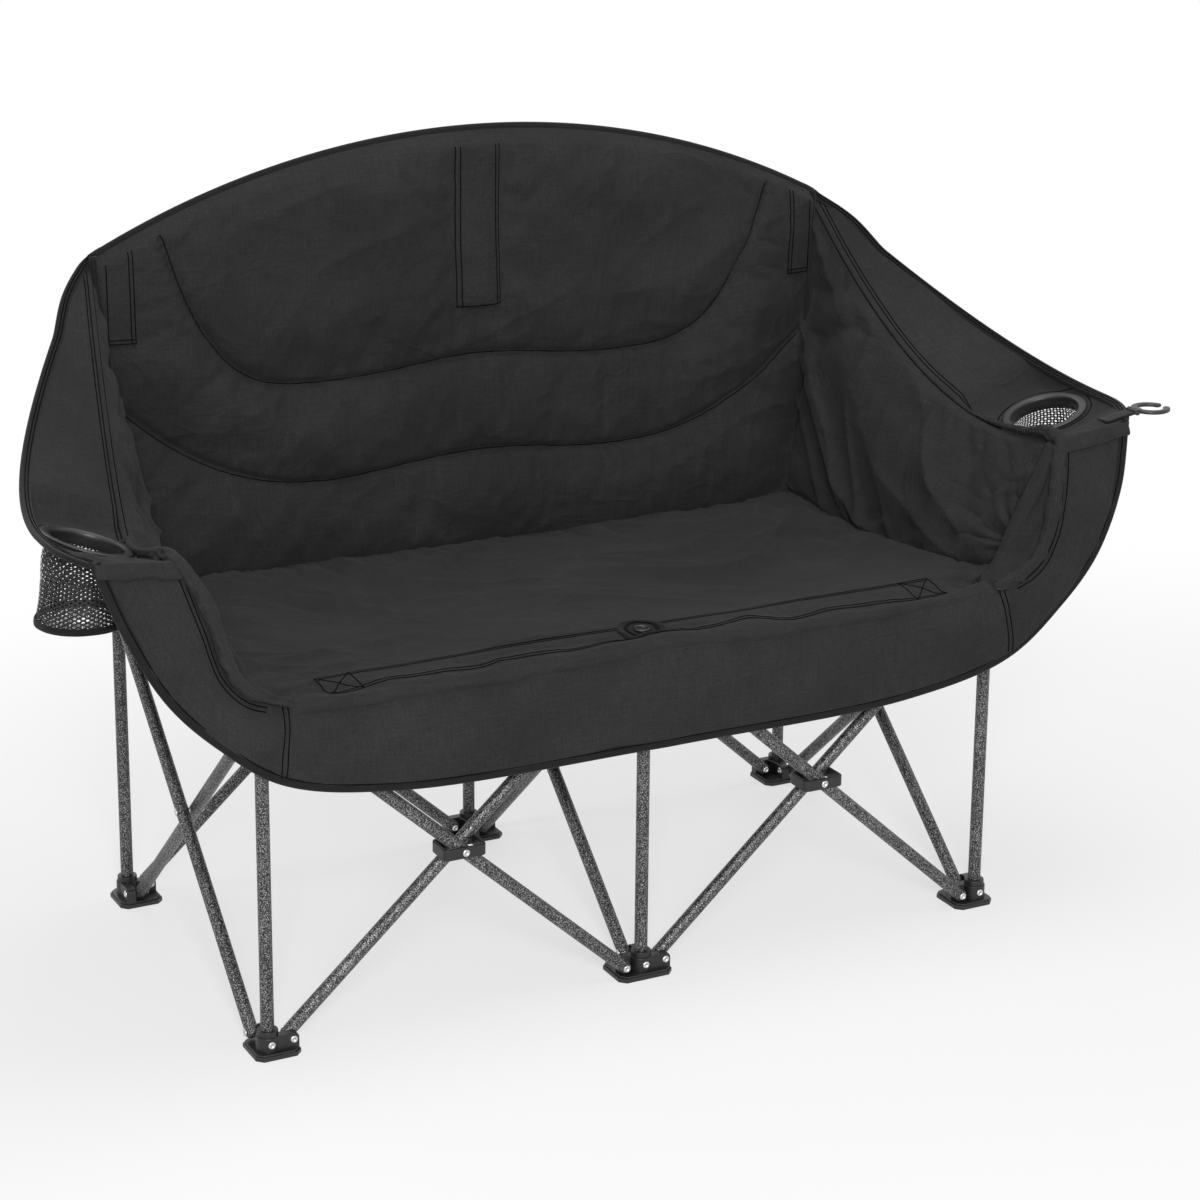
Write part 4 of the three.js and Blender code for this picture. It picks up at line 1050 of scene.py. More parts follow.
def backGrid(columns, rows):
    u = np.linspace(-1, 1, columns)[None, :]
    v = np.linspace(0, 1, rows)[:, None]
    z = lerp(tubSet["backBottom"], archTop(u * tubSet["backHalfTop"]), v)
    return u * backHalf(z), z, np.broadcast_to(u, z.shape), np.broadcast_to(v, z.shape)


def backSwell(z, u):
    # how far the padding swells, from 0 to 1, and the heights above the two channels
    flat = u * tubSet["backHalfTop"]
    top = archTop(flat)
    upper = np.minimum(quiltLine("upper", flat), top)
    lower = quiltLine("lower", flat)
    low = (z - tubSet["backBottom"]) / (lower - tubSet["backBottom"])
    middle = (z - lower) / np.maximum(upper - lower, 1)
    high = np.maximum(z - upper, 0)
    swell = np.where(z < lower, pillow(low, 0.55), 0)
    tall = np.clip((upper - lower) / 150, 0.5, 1)
    swell = np.where((z >= lower) & (z < upper), pillow(middle, 0.5) * tall, swell)
    crown = (1 - np.exp(-high / 16)) * (1 - 0.75 * smoothStep(z, 700, 860))
    swell = np.where(z >= upper, crown, swell)
    side = 1 - np.abs(u) ** 9
    return swell * side, z - upper, z - lower


def backDetail(x, z, u):
    # channels and their puckers, as millimetres towards the sitter
    _, fromUpper, fromLower = backSwell(z, u)
    detail = np.zeros_like(x)
    for gap, seed in ((fromUpper, 1), (fromLower, 4)):
        lean = x + gap * 0.25 * np.sign(x)
        pleat = softNoise(lean / 11.0, gap / 60.0 + 3, seed) * 0.6
        pleat = pleat + softNoise(lean / 23.0, gap / 80.0, seed + 8) * 0.7
        near = np.exp(-np.abs(gap) / backSet["puckerReach"])
        detail += backSet["pucker"] * (np.abs(2 * pleat - 1.3) - 0.5) * near * (1 - np.exp(-np.abs(gap) / 3.0))
        detail -= backSet["groove"] * np.exp(-(gap / backSet["grooveHalf"]) ** 2)
    return detail


def gatherBack(piece):
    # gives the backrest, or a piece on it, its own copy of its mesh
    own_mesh(piece)


x, z, u, v = backGrid(backSet["columns"], backSet["rows"])
swell, fromUpper, fromLower = backSwell(z, u)
y = tubSet["backFace"] - backSet["pad"] * swell
y = lerp(y, 473.5, smoothStep(v, 0.965, 1.0))
front = np.stack([x, y, z], -1)
rear = np.stack([x, np.full_like(x, tubSet["backRear"]), z], -1)
backrest = shellObject("backrest_panel", front, rear, oxford)
held = np.ones(front.shape[:2])
free = (np.abs(fromUpper) > 7) & (np.abs(fromLower) > 7) & (v > 0.03) & (v < 0.955) & (np.abs(u) < 0.985)
free &= ~((np.abs(x) < 36) & (z > 738)) & ~((np.abs(x) > 460) & (z > 736))
held[free] = 0
settle(backrest, held, 1.6, 0.02, 9.0)
refine(backrest)
places = pointsOf(backrest)
isFront = places[:, 1] < 477.5
px, pz = places[:, 0], places[:, 2]
pu = np.clip(px / backHalf(pz), -1, 1)
underTop = archTop(pu * tubSet["backHalfTop"]) - pz
fade = smoothStep(underTop, 6, 16) * smoothStep(pz, 424, 440) * smoothStep(1 - np.abs(pu), 0.004, 0.02)
detail = backDetail(px, pz, pu)
cloud = (softNoise(px / 95.0, pz / 70.0, 11) - 0.5) * 5.0 + (softNoise(px / 38.0, pz / 30.0, 12) - 0.5) * 1.6
crease = (folds(px, pz, 0.35, 210, 60, 21) ** 3 + folds(px, pz, 1.35, 150, 70, 25) ** 3 - 0.4) * 2.4
detail += cloud + crease
# the sleeve over the centre upright, and the creases that fan out below it
sleeveHalf = backSet["sleeveHalf"]
sleeve = smoothStep(pz, backSet["sleeveFoot"] - 3, backSet["sleeveFoot"] + 3)
inside = np.clip(1 - (np.abs(px) / sleeveHalf) ** 4, 0, 1)
crown = 3.2 + 2.2 * (1 - (px / sleeveHalf) ** 2) + (softNoise(px / 12, pz / 130, 14) - 0.5) * 1.6
detail = lerp(detail, crown, inside * sleeve)
detail -= 2.0 * np.exp(-((np.abs(px) - sleeveHalf) / 2.2) ** 2) * sleeve
angle = np.arctan2(px, 752 - pz)
fanDistance = np.hypot(px, 752 - pz)
fan = np.where(pz < 760, np.exp(-fanDistance / 34) * (np.sin(angle * 11) * 0.5), 0)
detail += fan * 4.0
pocket = smoothStep(np.abs(px), 463, 467) * smoothStep(pz, 739, 744)
detail += 2.2 * pocket
places[:, 1] = np.where(isFront, places[:, 1] - detail * fade, places[:, 1])
# the three pockets on the rear face
behind = ~isFront & (places[:, 1] > 479.0)
for station, foot in ((-bay, 727.0), (0.0, 742.0), (bay, 727.0)):
    over = np.clip(1 - (np.abs(px - station) / 17.0) ** 4, 0, 1) * smoothStep(pz, foot - 2, foot + 2)
    over *= smoothStep(underTop, 2, 14)
    places[:, 1] = np.where(behind, places[:, 1] + backSet["rearPocket"] * over, places[:, 1])
places[:, 1] = np.where(behind, places[:, 1] + (softNoise(px / 60, pz / 60, 31) - 0.5) * 1.6 * fade, places[:, 1])
putPoints(backrest, places)
standsFor(backrest, "backrest")
gatherBack(backrest)
backTree = surfaceOf(backrest)

archX = np.linspace(-514, 514, 150)
archLine = np.stack([archX, np.full_like(archX, backSet["bindY"]), archTop(archX) + 1.5], -1)


def archInward(x):
    return np.stack([-x / archRadius, x * 0, -np.sqrt(1 - (x / archRadius) ** 2)], -1)


archIn = archInward(archX)
archTape = taped("backrest_binding", archLine, archIn, np.tile([0.0, 1, 0], (len(archX), 1)), backSet["bindWidth"],
                 backSet["bindThick"])
goesWith(archTape, "back_centre")
gatherBack(archTape)
tapeTree = surfaceOf(archTape)
for inset in (5.0, 8.5):
    seamOn("back", tapeTree, archLine + archIn * inset, seen=(0, -1, 0))


def backSeam(x, z):
    # a row of stitches on the backrest's front face, through points of equal or single x and z
    x, z = np.broadcast_arrays(np.asarray(x, float), np.asarray(z, float))
    seamOn("back", backTree, np.stack([x, x * 0 + 455, z], -1), seen=(0, -1, 0))


for name, reach in (("upper", 428), ("lower", 486)):
    sx = np.linspace(-reach, reach, 300)
    backSeam(sx, np.minimum(quiltLine(name, sx * 511 / 505), archTop(sx) - 16))
for sx in (-31, -25, 25, 31):
    backSeam(sx, np.linspace(747, 955, 60))
backSeam((-31, 31), 747)
for sign in (-1, 1):
    for sx in (466, 471, 499):
        backSeam(sx * sign, np.linspace(744, archTop(sx) - 14, 40))
    for sz in (744, 749):
        backSeam((466 * sign, 499 * sign), sz)
backStitches = sewSeams("back", "backrest_stitching")
goesWith(backStitches, "back_centre")
gatherBack(backStitches)
print("backrest made")

# seat
seatSet = {"columns": 180, "rows": 84, "edge": 9.0, "thick": 17.0, "cuts": (124.0, 324.0),
           "bodies": ("front_centre_top", bodyOfNode["centre_crossing_bracket"], "back_centre_top"),
           "webEnd": 414.0, "overlap": 0.02}
seatFront, seatRear = tubSet["seatFront"], tubSet["seatRear"]


def seatPlaces(columns, rows):
    u = np.linspace(-1, 1, columns)[None, :]
    y = np.linspace(seatFront, seatRear, rows)[:, None]
    x = u * seatHalf(y)
    return x, np.broadcast_to(y, x.shape), np.broadcast_to(u, x.shape)


def seatCrown(u, y):
    fromSides = np.minimum((u + 1) / 2, (1 - u) / 2)
    fromEnds = np.minimum((y + 38.7) / 497.8, (seatRear - y) / 497.8)
    inward = np.minimum(fromSides, fromEnds)
    return lerp(seatSet["edge"], seatSet["thick"], np.sqrt(np.clip(8 * inward, 0, 1)))


def seatWaves(x, y):
    # drawn-out ripples of the slung seat, softer towards the back
    slow = (softNoise(x / 150, y / 120, 41) - 0.5) * 7
    lean = folds(x, y, 0.35, 260, 74, 43) ** 2 * 6.0 + folds(x, y, -0.5, 240, 60, 45) ** 2 * 4.5
    fine = (softNoise(x / 46, y / 34, 47) - 0.5) * 2.6
    rear = np.exp(-np.clip(459 - y, 0, None) / 26) * (folds(x, y, 1.55, 60, 17, 48) - 0.5) * 5.0
    sides = np.exp(-np.clip(seatHalf(y) - np.abs(x), 0, None) / 30) * (folds(x, y, 0.0, 70, 21, 49) - 0.5) * 4.5
    return slow + lean + fine + rear + sides - 2.5


x, y, u = seatPlaces(seatSet["columns"], seatSet["rows"])
low = seatLow(x, y)
crown = seatCrown(u, y)
# the front rim rises over the hubs and hangs over the apron
over = smoothStep(-y, 12, -seatFront)
rimLift = (13.5 - 4.5 * np.sin(np.pi * np.abs(x) / bay) ** 2) * smoothStep(-y, 2, 34)
sway = (softNoise(x / 52, x * 0 + 3.5, 52) - 0.5) * 9.0
top = np.stack([x, y - 10.5 * over - sway * over, low + crown + rimLift], -1)
base = np.stack([x, y - 9.0 * over - sway * over, low + 7 * over], -1)
seat = shellObject("seat_panel", top, base, oxford)
held = np.ones(top.shape[:2])
held[(np.abs(u) < 0.985) & (y > -20) & (y < 450)] = 0
settle(seat, held, 0.9, 0.02, 5.0)
refine(seat)
places = pointsOf(seat)
px, py = places[:, 0], places[:, 1]
upward = normalsOf(seat)[:, 2]
edgeFade = smoothStep(seatHalf(py) - np.abs(px), 1, 12) * smoothStep(py, -46, -30) * smoothStep(459 - py, 0, 8)
# the flat webbing strip along the front
webEnd = seatSet["webEnd"]
web = smoothStep(py, -22, -19) * (1 - smoothStep(py, 25, 27)) * (1 - smoothStep(np.abs(px), webEnd, webEnd + 3))
waves = seatWaves(px, py) * (1 - 0.8 * web * smoothStep(py, -10, 0)) + 1.1 * web
rimWaves = (softNoise(px / 58, py / 60, 51) - 0.5) * 9 * smoothStep(-py, -14, 20)
lift = np.where(upward > 0.2, waves + rimWaves, waves * 0.7)
places[:, 2] += lift * edgeFade
putPoints(seat, places)


def cutAlong(piece, low, high):
    # keeps what lies between two planes across Y and closes it with flat caps
    shape = bmesh.new()
    shape.from_mesh(piece.data)
    for cut, inward in ((low, 1), (high, -1)):
        if cut is None:
            continue
        everything = shape.verts[:] + shape.edges[:] + shape.faces[:]
        bmesh.ops.bisect_plane(shape, geom=everything, plane_co=(0, cut * 0.001, 0), plane_no=(0, -inward, 0),
                               clear_outer=True)
        rim = [edge for edge in shape.edges if len(edge.link_faces) == 1]
        for face in bmesh.ops.holes_fill(shape, edges=rim)["faces"]:
            face.smooth = False
            for edge in face.edges:
                edge.smooth = False
    bmesh.ops.triangulate(shape, faces=[face for face in shape.faces if len(face.verts) > 4])
    shape.to_mesh(piece.data)
    shape.free()


# three strips, each on the body that carries it, because the frame folds under the seat
seatStrips = []
firstCut, lastCut = seatSet["cuts"]
overlap = seatSet["overlap"]
stripEnds = ((None, firstCut + overlap), (firstCut - overlap, lastCut + overlap), (lastCut - overlap, None))
for i, name in enumerate(("seat_front_strip", "seat_middle_strip", "seat_rear_strip")):
    strip = linked(bpy.data.objects.new(name, seat.data.copy()))
    strip.data.name = name
    cutAlong(strip, *stripEnds[i])
    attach(strip, seatSet["bodies"][i])
    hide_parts("seat")
    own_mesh(strip)
    seatStrips.append(strip)
bpy.data.objects.remove(seat)
print("seat made")

# side panels and arm tops
sideSet = {"columns": 84, "rows": 60, "pad": 14.0, "outer": 8.0, "head": 3.0, "front": 12.5, "rear": 481.0}
armSet = {"rows": 40, "thick": 5.0, "hole": 47.3, "front": -10.0}


def mirroredShell(name, inner, outer, side):
    # a shell for one side of the chair from grids of the right side, the first of them seen from within
    for grid in (inner, outer):
        grid[..., 0] *= side
    order = slice(None, None, -1 if side > 0 else None)
    return shellObject(name, inner[:, order], outer[:, order], oxford)


def sideFoot(y):
    footY = np.clip(y, tubSet["seatWideY"], seatRear)
    footX = seatHalf(footY) + 0.5
    return np.stack([footX, y, seatLow(footX, footY)], -1)


sides = {}
for sideName, side in (("left", -1), ("right", 1)):
    y = np.linspace(sideSet["front"], sideSet["rear"], sideSet["columns"])[None, :]
    v = np.linspace(0, 1, sideSet["rows"])[:, None]
    y2 = np.broadcast_to(y, (sideSet["rows"], sideSet["columns"]))
    v2 = np.broadcast_to(v, y2.shape)
    foot = sideFoot(y2)
    head = foldEdge(y2)
    head[..., 2] -= 1.6
    place = lerp(foot, head, v2[..., None])
    along = (y2 - sideSet["front"]) / (sideSet["rear"] - sideSet["front"])
    swell = pillow(v2, 0.55) * pillow(along, 0.4)
    inner = place.copy()
    inner[..., 0] -= sideSet["pad"] * 0.85 * swell
    outer = place.copy()
    outer[..., 0] += lerp(sideSet["outer"], sideSet["head"], v2 ** 8)
    piece = mirroredShell(sideName + "_side_cushion", inner, outer, side)
    held = np.ones(inner.shape[:2])
    held[2:-2, 2:-2] = 0
    settle(piece, held, 1.4, 0.03, 8.0)
    refine(piece)
    places = pointsOf(piece)
    normals = normalsOf(piece)
    px, py, pz = places.T
    footZ = sideFoot(py)[:, 2]
    headZ = foldEdge(py)[:, 2] - 1.6
    rise = np.clip((pz - footZ) / (headZ - footZ), 0, 1)
    fade = smoothStep(rise, 0.01, 0.07) * smoothStep(1 - rise, 0.01, 0.06)
    fade = fade * smoothStep(py, 14, 30) * smoothStep(478 - py, 0, 16)
    diagonal = folds(py, pz, 0.75, 260, 70, 61 + side) ** 2 * 11.0
    diagonal = diagonal + folds(py, pz, 1.15, 220, 44, 65 + side) ** 3 * 7.0
    foot = np.exp(-rise * 9) * (folds(py, pz, 1.5, 80, 19, 68 + side) - 0.5) * 5.0
    # creases that run out from the foot of the arm post
    fan = np.arctan2(pz - 470, py - 10)
    reach = np.hypot(pz - 470, py - 10)
    spokes = np.abs(2 * softNoise(fan * 5.0, reach / 160, 73 + side) - 1) ** 0.7 - 0.4
    spokes = spokes * 15.0 * np.exp(-reach / 95)
    front = np.exp(-(py - 12) / 40) * (folds(py, pz, 0.3, 90, 22, 71 + side) - 0.5) * 6.0
    move = (diagonal + foot + front + spokes - 4.0) * fade
    inside = normals[:, 0] * side < 0
    places += normals * np.where(inside, move, move * 0.35)[:, None]
    putPoints(piece, places)
    standsFor(piece, sideName + "_side_panel")
    sides[sideName] = surfaceOf(piece)
    -side * 0.18
    side * 0.5
    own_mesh(piece)
print("side cushions made")

arms = {}


def gatherArm(piece, side):
    # gives an arm piece its own copy of its mesh
    -side * 0.2076
    side * 0.582
    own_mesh(piece)


def cupTurn(side):
    # the turn from upright to the cup's axis
    normal = Vector((-side * cupOut, -cupBack, 1)).normalized()
    return Vector((0, 0, 1)).rotation_difference(normal).to_matrix()


for sideName, side in (("left", -1), ("right", 1)):
    y = np.concatenate([np.linspace(armSet["front"], 212, 72), np.linspace(215, 481, 52)])
    v = np.linspace(0, 1, armSet["rows"])
    y2, v2 = np.meshgrid(y, v)
    upper = armSurface(y2, v2)
    lower = upper.copy()
    lower[..., 2] -= armSet["thick"]
    soft = pillow(v2, 0.5) * smoothStep(y2, -10, 14) * smoothStep(481 - y2, 0, 30)
    fromCup = np.hypot(upper[..., 0] - cupX, y2 - cupY)
    calm = smoothStep(fromCup, 58, 92)
    wave = (folds(y2, v2 * 120, 0.15, 130, 34, 81 + side) - 0.4) * 4.5
    wave = wave + (softNoise(y2 / 40, v2 * 3, 84 + side) - 0.5) * 3
    upper[..., 2] += (2.2 + wave) * soft * calm
    lower[..., 2] += (wave * 0.8) * soft * calm
    piece = upFacing(mirroredShell(sideName + "_arm_band", upper, lower, side))
    # the cup hole
    turn = cupTurn(side)
    holePlaces, holeFaces = roundBlock(armSet["hole"], -30, 30, 96)
    holePlaces = [turn @ Vector(p) + Vector((side * cupX, cupY, cupZ)) for p in holePlaces]
    tool = upFacing(meshObject("holeTool", [tuple(p) for p in holePlaces], holeFaces, oxford, smooth=False))
    hole = piece.modifiers.new("hole", "BOOLEAN")
    hole.operation = "DIFFERENCE"
    hole.object = tool
    hole.solver = "EXACT"
    plain(piece)
    bpy.data.objects.remove(tool)
    standsFor(piece, sideName + "_arm_top")
    arms[sideName] = surfaceOf(piece)
    gatherArm(piece, side)
print("arm bands made")

# apron
apronSet = {"columns": 260, "rows": 40, "thick": 4.0, "belly": 9.0, "rimHalf": 582.0, "rimLow": 437.0,
            "rimHigh": 612.0, "rimY": -39.0, "hemHalf": 682.0, "hemLow": 319.0, "hemHigh": 623.0, "hemY": -54.0}
rimShares = [(0, 0), (0.62, -0.03), (0.81, 0.03), (0.885, 0.1), (0.935, 0.27), (0.968, 0.62), (1, 1)]
hemShares = [(0, 0), (0.5, 0.02), (0.71, 0.12), (0.82, 0.3), (0.9, 0.49), (0.96, 0.74), (1, 1)]


def centripetal(points, count):
    # the smooth curve that the frame's apron follows, at even parameter steps
    points = [np.asarray(p, float) for p in points]
    padded = [2 * points[0] - points[1]] + points + [2 * points[-1] - points[-2]]
    out = []
    spans = len(points) - 1
    for share in np.linspace(0, 1, count):
        at = min(share * spans, spans - 1e-9)
        i = int(at)
        w = at - i
        p0, p1, p2, p3 = padded[i:i + 4]
        d0, d1, d2 = (max(np.dot(b - a, b - a) ** 0.25, 1e-4) for a, b in ((p0, p1), (p1, p2), (p2, p3)))
        t1 = ((p1 - p0) / d0 - (p2 - p0) / (d0 + d1) + (p2 - p1) / d1) * d1
        t2 = ((p2 - p1) / d1 - (p3 - p1) / (d1 + d2) + (p3 - p2) / d2) * d1
        out.append(p1 + t1 * w + (-3 * p1 + 3 * p2 - 2 * t1 - t2) * w ** 2 + (2 * p1 - 2 * p2 + t1 + t2) * w ** 3)
    return np.array(out)


def apronLine(shares, half, centreZ, endZ, centreY, count):
    points = [(wide * half, lerp(centreY, -10.4, tall ** 3), lerp(centreZ, endZ, tall)) for wide, tall in shares]
    return centripetal(points, count)


halfColumns = apronSet["columns"] // 2 + 1
rimHalf, hemHalf = (apronLine(shares, *(apronSet[edge + key] for key in ("Half", "Low", "High", "Y")), halfColumns)
                    for edge, shares in (("rim", rimShares), ("hem", hemShares)))
flipX = np.array([-1.0, 1, 1])
rimLine = np.concatenate([rimHalf[:0:-1] * flipX, rimHalf])
hemLine = np.concatenate([hemHalf[:0:-1] * flipX, hemHalf])
share = np.abs(np.linspace(-1, 1, len(rimLine)))[None, :]
v = np.linspace(0, 1, apronSet["rows"])[:, None]
back = lerp(hemLine[None], rimLine[None], v[..., None])
back[..., 1] -= apronSet["belly"] * np.sin(np.pi * v) * (1 - share ** 4)
x, z = back[..., 0], back[..., 2]
wave = (folds(x, z, 0.15, 240, 46, 91) - 0.5) * 4.5 + (softNoise(x / 70, z / 50, 93) - 0.5) * 5.0
end = np.exp(-np.abs(np.abs(x) - 500) / 45) * (folds(x, z, 0.75, 120, 20, 95) - 0.5) * 8
wave = (wave + end) * pillow(v, 0.7)
back[..., 1] -= wave
front = back.copy()
front[..., 1] -= apronSet["thick"]
apron = shellObject("apron_band", front, back, oxford)
upFacing(apron)
refine(apron)
standsFor(apron, "apron")
apronTree = surfaceOf(apron)


def gatherFront(piece):
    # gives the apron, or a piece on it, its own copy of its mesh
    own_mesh(piece)


gatherFront(apron)
print("apron made")

# fittings on the arms
cupSet = {"around": 96, "uvRadius": 47, "netTop": -14.4, "netLow": -98.0, "netHead": 51.0, "netFoot": 45.2,
          "netThick": 1.2, "hangX": 650, "hangZ": 596}
sleeveSet = {"foot": (498, 0, 430), "head": (585, 0, 597), "low": 60, "high": 190.5, "outer": 11.8, "inner": 8.4,
             "around": 48, "rings": 60}
ringProfile = [(43.0, -14.0), (45.4, -14.0), (45.4, -1.5), (46.2, 0.2), (48, 0.3), (53.6, 0.3), (54.7, 0.7),
               (55.2, 1.7), (54.6, 2.9), (52.8, 3.5), (50.5, 3.7), (48.2, 3.5), (46.0, 3.0), (44.3, 2.0), (43.2, 0.4),
               (43.0, -1.5)]


def turnedRing(name, profile, sides, material, side, wave=None, hung=False):
    # a closed ring profile turned about the cup's axis
    places = []
    uv = []
    travel = travelAlong(np.array(profile))
    for k in range(sides):
        angle = 2 * math.pi * k / sides
        for j, (radius, height) in enumerate(profile):
            r = radius + (wave(angle, height) if wave else 0)
            places.append((r * math.cos(angle), r * math.sin(angle), height))
            uv.append((angle * cupSet["uvRadius"], travel[j]))
    count = len(profile)
    faces = []
    for k in range(sides):
        for j in range(count):
            a, b = k * count, ((k + 1) % sides) * count
            faces.append((a + j, b + j, b + (j + 1) % count, a + (j + 1) % count))
    turn = cupTurn(side)
    centre = Vector((side * cupX, cupY, cupZ))
    spots = []
    for x, y, z in places:
        spot = turn @ Vector((x, y, z)) + centre
        if hung:
            # the net hangs straight down from the tilted ring
            down = -14 - z
            share = min(1, max(0, down / 30))
            straight = Vector((side * (cupSet["hangX"] + 7 * down / 84) + x, cupY + y, cupSet["hangZ"] - down * 0.93))
            spot = spot.lerp(straight, share * share * (3 - 2 * share))
        spots.append(tuple(spot))
    return upFacing(meshObject(name, spots, faces, material, uv))


def netMaterial():
    # open knitted net: rounded six-sided holes on the piece's own UV map
    net = Recipe("cupNet")
    u, v, _ = net.parts(net.coordinates("UV"))
    turn = 2 * math.pi / 0.0046
    waves = (u * turn + 1.5708).sine() + ((u * 0.5 + v * 0.866) * turn + 1.5708).sine()
    waves = waves + ((u * -0.5 + v * 0.866) * turn + 1.5708).sine()
    solid = net.node("ShaderNodeMapRange", None, {"Value": waves, "From Min": -0.55, "From Max": -0.25,
                                                  "To Min": 1.0, "To Max": 0.0})
    grain = net.noise(net.coordinates(), 500.0, 3.0)
    colour = net.node("ShaderNodeValToRGB", {"stops": [(0.3, 0.008), (0.8, 0.03)]}, {"Fac": grain})
    normal = net.bump(waves * -0.3, 0.0004, 0.6)
    return net.finish(Base_Color=colour, Roughness=0.7, Normal=normal, Alpha=solid, Specular_IOR_Level=0.4)


netBlack = netMaterial()
netTop, netLow = cupSet["netTop"], cupSet["netLow"]
for sideName, side in (("left", -1), ("right", 1)):
    ring = turnedRing(f"{sideName}_cup_lip", ringProfile, cupSet["around"], plasticBlack, side)
    standsFor(ring, f"{sideName}_cup_ring")
    gatherArm(ring, side)

    def sagging(angle, z):
        return 1.6 * (softNoise(angle * 3.2 + side, z / 24, 101) - 0.5) * np.clip((netTop - z) / 20, 0, 1)

    outer = [(lerp(cupSet["netHead"], cupSet["netFoot"], h ** 1.6), lerp(netLow + 3, netTop, h))
             for h in np.linspace(0, 1, 16)]
    inner = [(r - cupSet["netThick"], z) for r, z in outer]
    floor = [(30, 2.2), (12, 1.4), (12, -0.2), (30, 0.4), (49.0, 1.6)]
    profile = outer + inner[::-1] + [(r, netLow + height) for r, height in floor]
    net = turnedRing(f"{sideName}_cup_net", profile, cupSet["around"], netBlack, side, sagging, hung=True)
    shape = bmesh.new()
    shape.from_mesh(net.data)
    bmesh.ops.holes_fill(shape, edges=[edge for edge in shape.edges if len(edge.link_faces) == 1])
    shape.to_mesh(net.data)
    shape.free()
    standsFor(net, f"{sideName}_mesh_cup")
    gatherArm(net, side)
    band = [(52.2 + 1.4 * math.cos(t), netLow + 4.0 + 4.6 * math.sin(t)) for t in np.linspace(0, 2 * math.pi, 15)[:-1]]
    foot = turnedRing(f"{sideName}_cup_foot_binding", band, cupSet["around"], tapeBlack, side, sagging, hung=True)
    goesWith(foot, bodyOfNode[f"{sideName}_arm_top"])
    gatherArm(foot, side)

    # the sleeve on the arm post, an outer wall up and an inner wall down
    start, end = (Vector((side * x, y, z)) for x, y, z in (sleeveSet["foot"], sleeveSet["head"]))
    way = (end - start).normalized()
    out = Vector((0, 1, 0))
    over = way.cross(out)
    lengths = np.linspace(sleeveSet["low"], sleeveSet["high"], sleeveSet["rings"])
    around = sleeveSet["around"]
    places, uv = [], []
    for isOuter in (True, False):
        for s in lengths if isOuter else lengths[::-1]:
            for k in range(around):
                angle = 2 * math.pi * k / around
                r = sleeveSet["inner"]
                if isOuter:
                    pinch = 0.9 * math.sin(angle * 3 + s / 23.0)
                    pinch = pinch + 1.5 * (softNoise(angle * 2.6, s / 15.0, 103 + side) - 0.5)
                    r = sleeveSet["outer"] + pinch * smoothStep(s, 58, 72) - 2.6 * (1 - smoothStep(s, 60, 62.5))
                spot = start + way * s + out * (r * math.cos(angle)) + over * (r * math.sin(angle))
                places.append(tuple(spot))
                uv.append((s, angle * 12))
    rows = len(lengths) * 2
    faces = gridFaces(rows, around, wrap=True)
    last = (rows - 1) * around
    faces += [(last + k, last + (k + 1) % around, (k + 1) % around, k) for k in range(around)]
    sleeve = upFacing(meshObject(f"{sideName}_post_sleeve", places, faces, oxford, uv))
    standsFor(sleeve, f"{sideName}_arm_sleeve")
print("cups and sleeves made")

# the glass holder's tab lies on the right arm and ends at the hinge
glassSet = {"x": 704, "y": 2, "tabFoot": 0.66, "lift": 3.2, "bore": 16.0, "outer": 25.0, "gapHalf": 6.0, "tip": 0.16,
            "barrel": 4.0, "halfThick": 2.6}
tabFoot, tabHead = (armSurface(np.array(2.0), np.array(share)) for share in (glassSet["tabFoot"], 1.0))
tabLean = math.atan2(tabHead[2] - tabFoot[2], tabHead[0] - tabFoot[0])
tabReach = glassSet["x"] - tabFoot[0]
glassPivot = Vector((glassSet["x"], glassSet["y"], tabFoot[2] + tabReach * math.tan(tabLean) + glassSet["lift"]))
tabLength = tabReach / math.cos(tabLean)


def leaned(places, lean, shift):
    c, s = math.cos(lean), math.sin(lean)
    return [(x * c - z * s + shift[0], y + shift[1], x * s + z * c + shift[2]) for x, y, z in places]


grid = []
for x in np.linspace(-tabLength, -4.5, 24):
    row = []
    for y, z in roundedOutline((-10, -1.5), (10, 1.5), (1.2,) * 4, 3):
        row.append((x, y, z + 0.25 * math.sin(x / 5.0)))
    grid.append(row)
columns = len(grid[0])
places = leaned([p for row in grid for p in row], tabLean, glassPivot)
faces = gridFaces(len(grid), columns, wrap=True)
faces += [tuple(range(columns)), tuple(range((len(grid) - 1) * columns, len(grid) * columns))[::-1]]
uv = [(x, y) for row in grid for x, y, z in row]
tab = upFacing(meshObject("glass_tab_webbing", places, faces, tapeBlack, uv))
standsFor(tab, "glass_holder_tab")
knuckles = []
for low, high in ((-10, -5.0), (5.0, 10)):
    places, faces = roundBlock(glassSet["barrel"], low, high, 24)
    knuckles.append((leaned([(x, z, y) for x, y, z in places], tabLean, glassPivot), faces))
places, faces = roundBlock(2.0, -9.9, 9.9, 20)
knuckles.append((leaned([(x, z, y) for x, y, z in places], tabLean, glassPivot), faces))
hinge = moulding("glass_tab_knuckle", knuckles, plasticBlack, 0.6)
goesWith(hinge, bodyOfNode["glass_holder_tab"])

# the holder is an open ring with rounded ends, a neck and a barrel
outer, tip = glassSet["outer"], glassSet["tip"]
ringX, middle, halfWide = 2 + outer, (outer + glassSet["bore"]) / 2, (outer - glassSet["bore"]) / 2
gapAngle = math.asin(glassSet["gapHalf"] / outer)
angles = np.linspace(gapAngle + tip, 2 * math.pi - gapAngle - tip, 72)


def swollen(value, power):
    return abs(value) ** power * np.sign(value)


